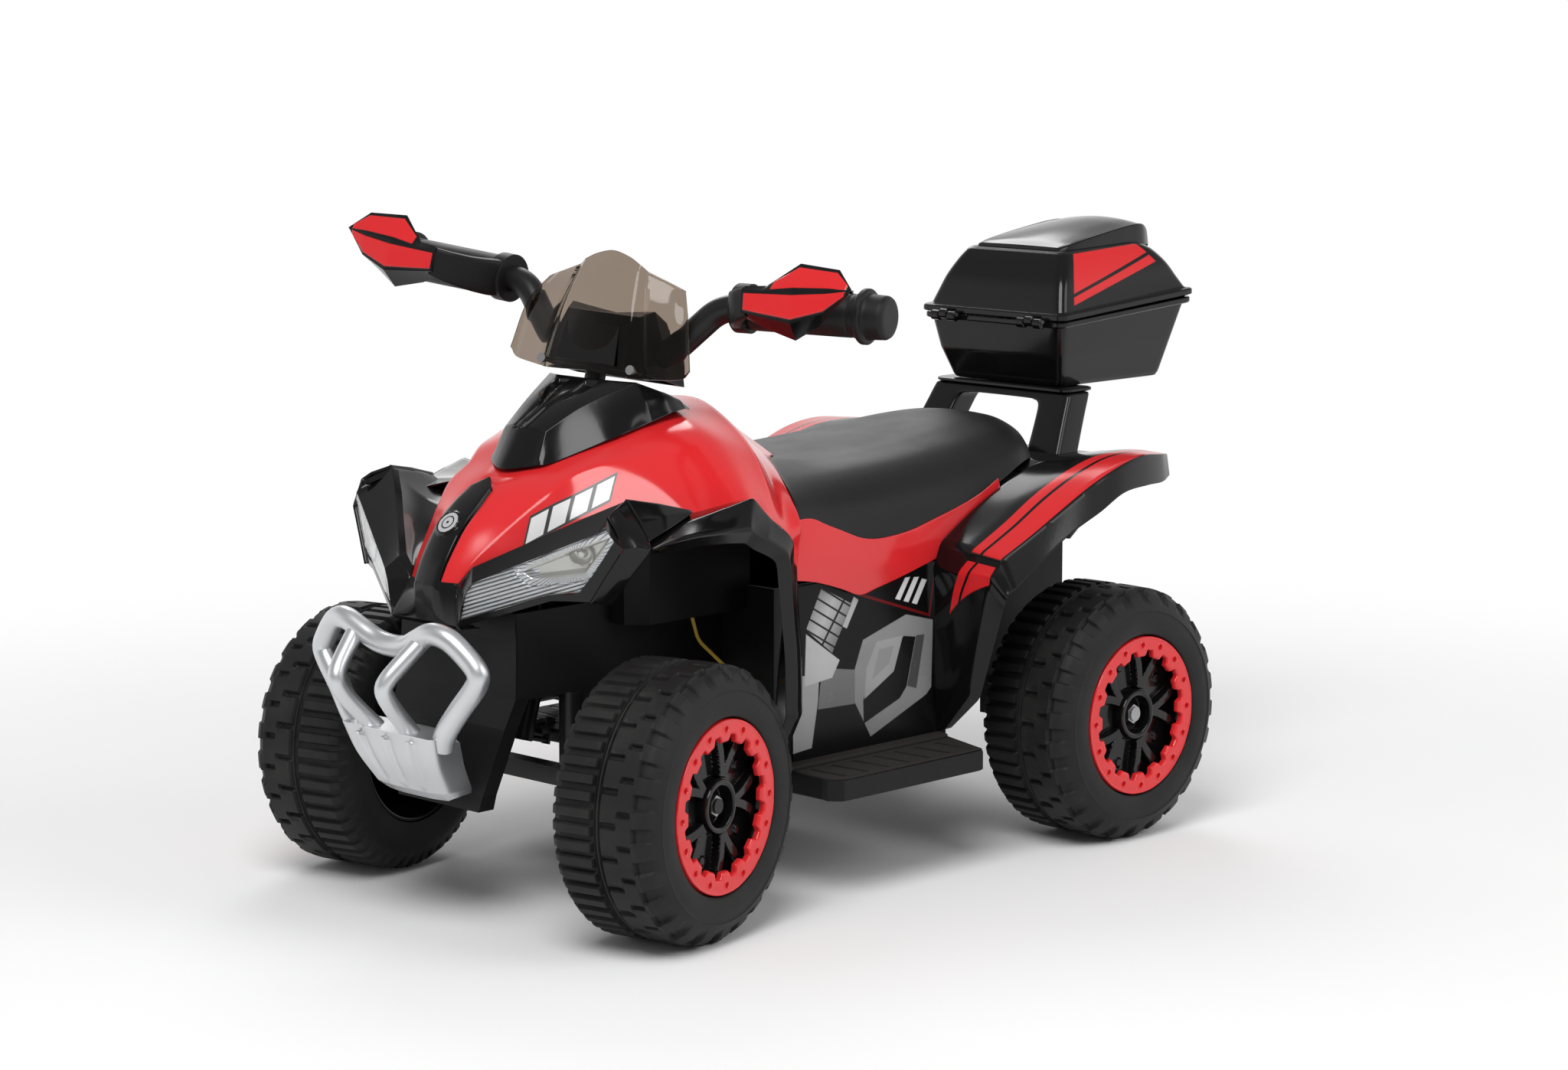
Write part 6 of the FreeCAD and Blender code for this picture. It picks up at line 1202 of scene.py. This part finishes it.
screen = {"rows": 60, "columns": 110, "net": (
    ((0, -189.5, 349), (20, -189, 348), (33, -188.5, 347.5), (42, -180, 346.5), (66, -174.5, 349),
     (73, -173.5, 355)),
    ((0, -179, 388), (17, -178.5, 387), (28, -177.5, 386), (34, -172, 386), (58, -167, 386),
     (65.5, -166.5, 386)),
    ((0, -164, 420), (13, -163.5, 418), (22.5, -163, 416.5), (26.5, -160, 415), (46, -155.5, 407.5),
     (54.5, -154.5, 404.5)),
    ((0, -161, 427), (13, -161, 424), (22.3, -161.5, 419.5), (27, -159.5, 415.5), (46.5, -155, 408),
     (55, -154.3, 404.7)),
), "plaque": ((24, -189.9, 355), (21, -181.0, 380))}
points = netOf(screen, (2,), (2, 3, 7, 8), whole=True)
addPiece("windscreen_skin", points, "screenSmoke", ["windscreen"], "steering", wall=2.0, bevel=0.5)
low, high = np.array(screen["plaque"])
wide, y, z = (low + (high - low) * np.linspace(0, 1, 12)[:, None]).T[..., None]
k = np.linspace(-1, 1, 24)
points = np.stack([k * wide, y + 0 * k, z + 0 * k], -1)
addPiece("screen_plaque", points, "blackGloss", (), "steering", wall=0.9)

# handguards: two facets meeting at a crease, red panels in a black frame; arm and clamp on the bar

guard = {"net": (
    ((126, -190, 398), (125, -196.6, 402.6), (123.8, -194.3, 416.4), (125, -192, 419)),
    ((138, -188, 393), (140, -197.5, 401.3), (139, -194, 417.8), (139.8, -189.3, 420.5)),
    ((162.6, -187.8, 387.4), (164.3, -198.8, 399.6), (162, -193.8, 420), (159.4, -180.7, 436.2)),
    ((180, -187, 399), (185.9, -195, 407.6), (186, -192, 422.4), (189.5, -182, 435.3)),
    ((201, -188, 422), (202, -189.5, 423), (203.3, -189.4, 424), (202.5, -188.5, 425)),
), "wall": 3.6, "lift": 0.7, "lower": (0.377, 0.623, 0.03, 0.94), "upper": (0.707, 0.953, 0.3125, 0.94),
    # arm: place, height and thickness
    "arm": ((127, -192.5, 409, 19, 6), (118, -187, 405.5, 21, 7), (108, -176, 401.5, 23, 8),
            (100, -162, 398.6, 25, 9), (97.9, -152, 397.8, 24, 9))}
panels = (guard["lower"], guard["upper"])
bar = {"start": np.array([80.0, -148.9, 396.9]), "axis": unit([118.0, 10.0, 5.0])}
# distance along the bar and radius
clampForm = ((12.0, 15.8), (12.6, 16.4), (22.4, 16.4), (23.0, 15.8), (23.0, 8.6), (12.0, 8.6))


def guardPaint(start, place, colour, rough):
    # two red panels, one on each facet, inside a dark frame
    along, across = mapParts(start)
    lower, upper = (across.between(low, high, 0.006) * along.between(first, last, 0.005)
                    for low, high, first, last in panels)
    mask = lower + upper
    return mask.mix(colour, printRed), rough + mask * 0.02


def onBar(outline, count):
    # an outline of distance from the bend and radius turns round the straight end of the handlebar
    side = unit(np.cross(bar["axis"], [0.0, 0.0, 1.0]))
    distance, radius = np.array(outline).T[..., None, None]
    turn = around(count)[:, None]
    rim = side * np.cos(turn) + np.cross(side, bar["axis"]) * np.sin(turn)
    return bar["start"] + bar["axis"] * distance + rim * radius


basicFinish("guardGloss", guardPaint, "blackGloss")
points = facets(guard["net"], 20, 16)
u, v = (np.linspace(0, 1, count) for count in points.shape[:2])
u = u[:, None]
lift = highest(*[span(v, low, high, 0.02) * span(u, first, last, 0.02) for low, high, first, last in panels])
points = points + (guard["lift"] * lift)[..., None] * np.array([0.0, -1.0, 0.0])
addPair("guard_leaf", points, "guardGloss", ["handguards"], body="steering", wall=guard["wall"], sharp=20.0,
        even=False, printed=0)
arm = spread(guard["arm"], 40, 0)
arm = alongPath(arm[:, :3], boxProfile(5.0, 40)[None] * arm[:, None, [4, 3]])
addPair("guard_arm", arm, "blackMatte", ["handguards"], body="steering", **tube)
addPair("guard_clamp", onBar(clampForm, 56), "blackMatte", ["handguards"], body="steering", closeU=True,
        closeV=True)

# grips: plain sleeve with a groove, an outer flange and a rounded end, as distance along the bar and radius

gripForm = (
    (24.5, 13.6), (25, 14.2), (96, 14.4), (97, 13.9), (98.2, 13.9), (99.2, 14.5), (102, 14.6), (103.2, 15),
    (104, 17.6), (104.8, 18.3), (107.6, 18.3), (108.4, 17.6), (109.2, 15.2), (111, 14.8), (120.6, 14.4),
    (122.4, 13.4), (123.2, 12), (123.4, 10.5), (123.4, 2))
outline = spread(gripForm, 6 * len(gripForm), 0, range(len(gripForm)))
addPair("grip", onBar(outline, 64), "gripRubber", ["grips"], body="steering", **tube)
print("steering: screen, guards, grips")

# side panels: print of a ribbed block and frame in greys, and a dark corner with a thin red edge

printForm = {
    # corners as (length, height) in millimetres, anticlockwise seen from the left, then the shade
    "shapes": ((((-98, 91), (-80, 92.4), (-74, 123.5), (-73, 141), (-98, 144)), 0.36),
               (((-74, 118), (-38, 116.9), (-37.6, 140.4), (-70, 146)), 0.17),
               (((-87, 135.5), (-60.2, 138), (-53, 149.1), (-85.6, 171)), 0.48),
               (((-50.5, 172), (-46, 170), (-34.7, 188.2), (-39.2, 191)), 0.42),
               (((-38, 118), (-22, 91.8), (34, 113.3), (39.3, 118), (40.5, 165.2), (13.1, 172.3),
                (-30, 160), (-38, 141)), 0.26),
               (((-29, 101.7), (7.2, 114.4), (14, 121.8), (23, 155.5), (11, 157.6), (-20, 140),
                (-29.6, 118)), 0.006),
               (((14.6, 122), (24, 119), (32, 156), (23.6, 156.4)), 0.075),
               (((-28.3, 118.8), (0.9, 134.1), (10, 158), (-16.3, 157), (-26.4, 140)), 0.34),
               (((-21, 131), (-4, 140), (1, 152), (-14, 151.4)), 0.28)),
    "block": ((-85.6, 174), (-60.3, 155), (-41.4, 186.5), (-70.8, 200.6)),
    "corner": ((-37, 192), (37.3, 167.7), (44.8, 207.6)),
    "bars": (((2, 184.5), (7, 183), (17, 198), (12, 198)), ((10.5, 182), (15.5, 180.5), (26, 197),
             (21, 197.4)), ((19, 179.6), (24, 178), (34, 194), (29, 195.4))),
    "left": (((-98, 84), (43.4, 84), (43.4, 206), (-98, 204)),),
    "right": (((-98, 84), (-32, 84), (-32, 206), (-98, 204)),
              ((-32, 146), (43.4, 146), (43.4, 206), (-32, 206))),
    "plane": 106.3, "blockFrom": (-85.6, 174.0), "finAcross": 31.6, "finPitch": 7.6,
}


def printPaint(start, place, colour, rough):
    # grey shapes with drifting shade, the ribbed block, rounded by its shade, the dark corner and pale bars
    y, z = inMillimetres(place)[1:]
    tone = noise(place, 22.0, 2.0) * 0.8 + (z - 84.0) * 0.004
    for corners, shade in printForm["shapes"]:
        colour = withinShape(y, z, corners, 0.4).mix(colour, tone.mix(grey(shade * 0.72), grey(shade * 1.22)))
    yBlock, zBlock = y - printForm["blockFrom"][0], z - printForm["blockFrom"][1]
    across = (yBlock * 0.8 - zBlock * 0.6) / printForm["finAcross"]
    up = (yBlock * 0.486 + zBlock * 0.874) / printForm["finPitch"]
    fins = start.maths("PINGPONG", up, 0.5).above(0.09, 0.03) * (1.0 - across.between(0.60, 0.66, 0.01))
    barrel = (1.0 - abs(across - 0.35) * 1.1) * 0.9
    metal = barrel.mix(rgba((0.05, 0.05, 0.052)), rgba((0.56, 0.56, 0.57)))
    block = withinShape(y, z, printForm["block"], 0.4)
    colour = (block * fins).mix((block * 0.95).mix(colour, rgba((0.02, 0.02, 0.021))), metal)
    corner = printForm["corner"]
    inner = withinShape(y + 1.2, z - 2.4, corner, 0.3)
    dark = inner.mix(rgba((0.16, 0.008, 0.010)), rgba((0.004, 0.004, 0.0042)))
    colour = withinShape(y, z, corner, 0.3).mix(colour, dark)
    for corners in printForm["bars"]:
        colour = withinShape(y, z, corners, 0.3).mix(colour, grey(0.74))
    return colour, rough


basicFinish("sidePrint", printPaint, "panelSatin")
for side, sign in (("left", 1.0), ("right", -1.0)):
    for k, corners in enumerate(printForm[side]):
        quad = np.array([(printForm["plane"] * sign,) + corner for corner in corners])
        points = quad[[0, 3, 1, 2]].reshape(2, 2, 3)
        addPiece("side_print_%s_%d" % (side, k), points, "sidePrint", wall=0.5, turn=sign > 0)
print("sides: printed panels")

# footrests: shell with round corners over the solid, tread with a step along the hull and grooves across

tread = {
    # shell: x, y and radius of each corner, then height and inset of each level
    "corners": ((106, -114, 2.0), (164.5, -115, 13.0), (164.5, 30.5, 5.0), (113, 48.5, 3.0),
                (106, 48.5, 1.0)),
    "levels": ((68.8, 1.2), (69.8, 0.0), (81.6, 0.0), (82.8, 0.5), (83.4, 1.6)),
    # tread: outline, then heights, step along the hull and slots
    "rows": 360, "columns": 120, "x": 107.4, "wide": 55.4, "front": -112.4, "slant": -1.0,
    "cut": 11.0, "cutFrom": 0.78, "back": 46.8, "backCut": -16.6, "backFrom": 113.0, "backWide": 51.5,
    "top": 83.3, "rise": 0.7, "inner": 120.0, "step": 1.6, "stepGroove": 1.5, "groove": 2.0,
    "pitch": 20.6, "share": 0.17, "tilt": 0.08, "first": -104.0, "slotX": (125.0, 157.0), "slotY": (-102.0, 24.0)}


def roundedOutline(height, inset, count=10):
    # each corner becomes an arc that touches its two sides; the inset draws the sides in
    corners = np.array(tread["corners"])
    p = corners[:, :2] - np.sign(corners[:, :2] - corners[:, :2].mean(0)) * inset
    t = np.linspace(0, 1, count)[:, None]
    arcs = []
    for corner, before, after, radius in zip(p, np.roll(p, 1, 0), np.roll(p, -1, 0), corners[:, 2]):
        before, after = unit(before - corner), unit(after - corner)
        reach = max(radius - inset, 0.4) / math.tan(0.5 * math.acos(np.clip(before @ after, -1, 1)))
        start, end = corner + before * reach, corner + after * reach
        arcs.append((1 - t) ** 2 * start + 2 * t * (1 - t) * corner + t**2 * end)
    loop = np.concatenate(arcs)
    return np.concatenate([loop, np.full((len(loop), 1), height)], -1)


def treadGrid():
    # height over the tread's outline: step along the hull, slanted slots across, edges drawn down
    u, v = np.linspace(0, 1, tread["rows"])[:, None], np.linspace(0, 1, tread["columns"])[None, :]
    x = tread["x"] + tread["wide"] * v + 0 * u
    cut = np.clip((v - tread["cutFrom"]) / (1 - tread["cutFrom"]), 0, 1) ** 2.4
    front = tread["front"] + tread["slant"] * v + tread["cut"] * cut
    back = tread["back"] + tread["backCut"] * np.clip((x - tread["backFrom"]) / tread["backWide"], 0, 1)
    y = front + (back - front) * u
    away = x - tread["inner"]
    slot = squareWave((y - tread["tilt"] * away - tread["first"]) / tread["pitch"], tread["share"], 0.05)
    slot = slot * span(x, *tread["slotX"], 1.4) * span(y, *tread["slotY"], 1.4)
    step = tread["step"] * (1 - softStep(away, -2.0, 1.0)) - tread["stepGroove"] * span(away, -1.4, 1.4, 0.8)
    edge = softStep(np.minimum(u, 1 - u), 0.004, 0.008) * softStep(1 - v, 0.012, 0.016)
    return np.stack([x, y, tread["top"] + edge * (tread["rise"] + step - tread["groove"] * slot)], -1)


def treadShadePaint(start, place, colour, rough):
    # painted shade: dark grooves across the tread and along the step
    x, y = inMillimetres(place)[:2]
    away = x - tread["inner"]
    cell = start.maths("FRACT", (y - away * tread["tilt"] - tread["first"]) / tread["pitch"] + 10.0)
    field = x.between(*tread["slotX"], 0.5) * y.between(*tread["slotY"], 0.5)
    slot = (1.0 - cell.above(tread["share"], 0.01)) * field
    # painted shade in the slots and in the groove along the step
    return start.maths("MAXIMUM", slot, away.between(-1.6, 1.6, 0.4)).mix(colour, grey(0.004)), rough


basicFinish("treadDark", treadShadePaint, "treadGrain")
shell = np.stack([roundedOutline(*level) for level in tread["levels"]])
addPair("footrest_shell", shell, "blackMatte", sharp=30.0, turn=True, **tube)
addPair("footrest_tread", treadGrid(), "treadDark", sharp=30.0, turn=True)
print("footrests: shell, tread")

# finishes of the pieces that keep their solid form

solidFinish = {
    "blackMatte": ("chassis_hull", "footrest_left", "footrest_right", "dash_housing", "gearbox_case",
                   "charge_socket", "column_bush",
                   "accelerator_pedal", "power_switch", "direction_switch"),
    "blackGloss": ("case_latch",),
    "bareSteel": ("rear_axle", "rear_axle_nuts", "kingpins", "body_screws", "lid_hinge_pins",
                  "windscreen_screws", "axle_nut_front_left",
                  "axle_nut_front_right", "motor"),
    "darkSteel": ("front_axle_beam", "steering_column", "handlebar", "knuckle_left", "knuckle_right",
                  "tie_rod"),
    "nylon": ("motor_pinion", "reduction_gear", "drive_gear"),
    "cellGrey": ("battery",),
    "leadYellow": ("lamp_wire",),
    "buttonRed": ("horn_button", "music_button"),
}
for finish, nodes in solidFinish.items():
    for node in nodes:
        data = frame["nodes"][node].data
        data.materials.clear()
        data.materials.append(plain[finish])
print("solids: finishes")
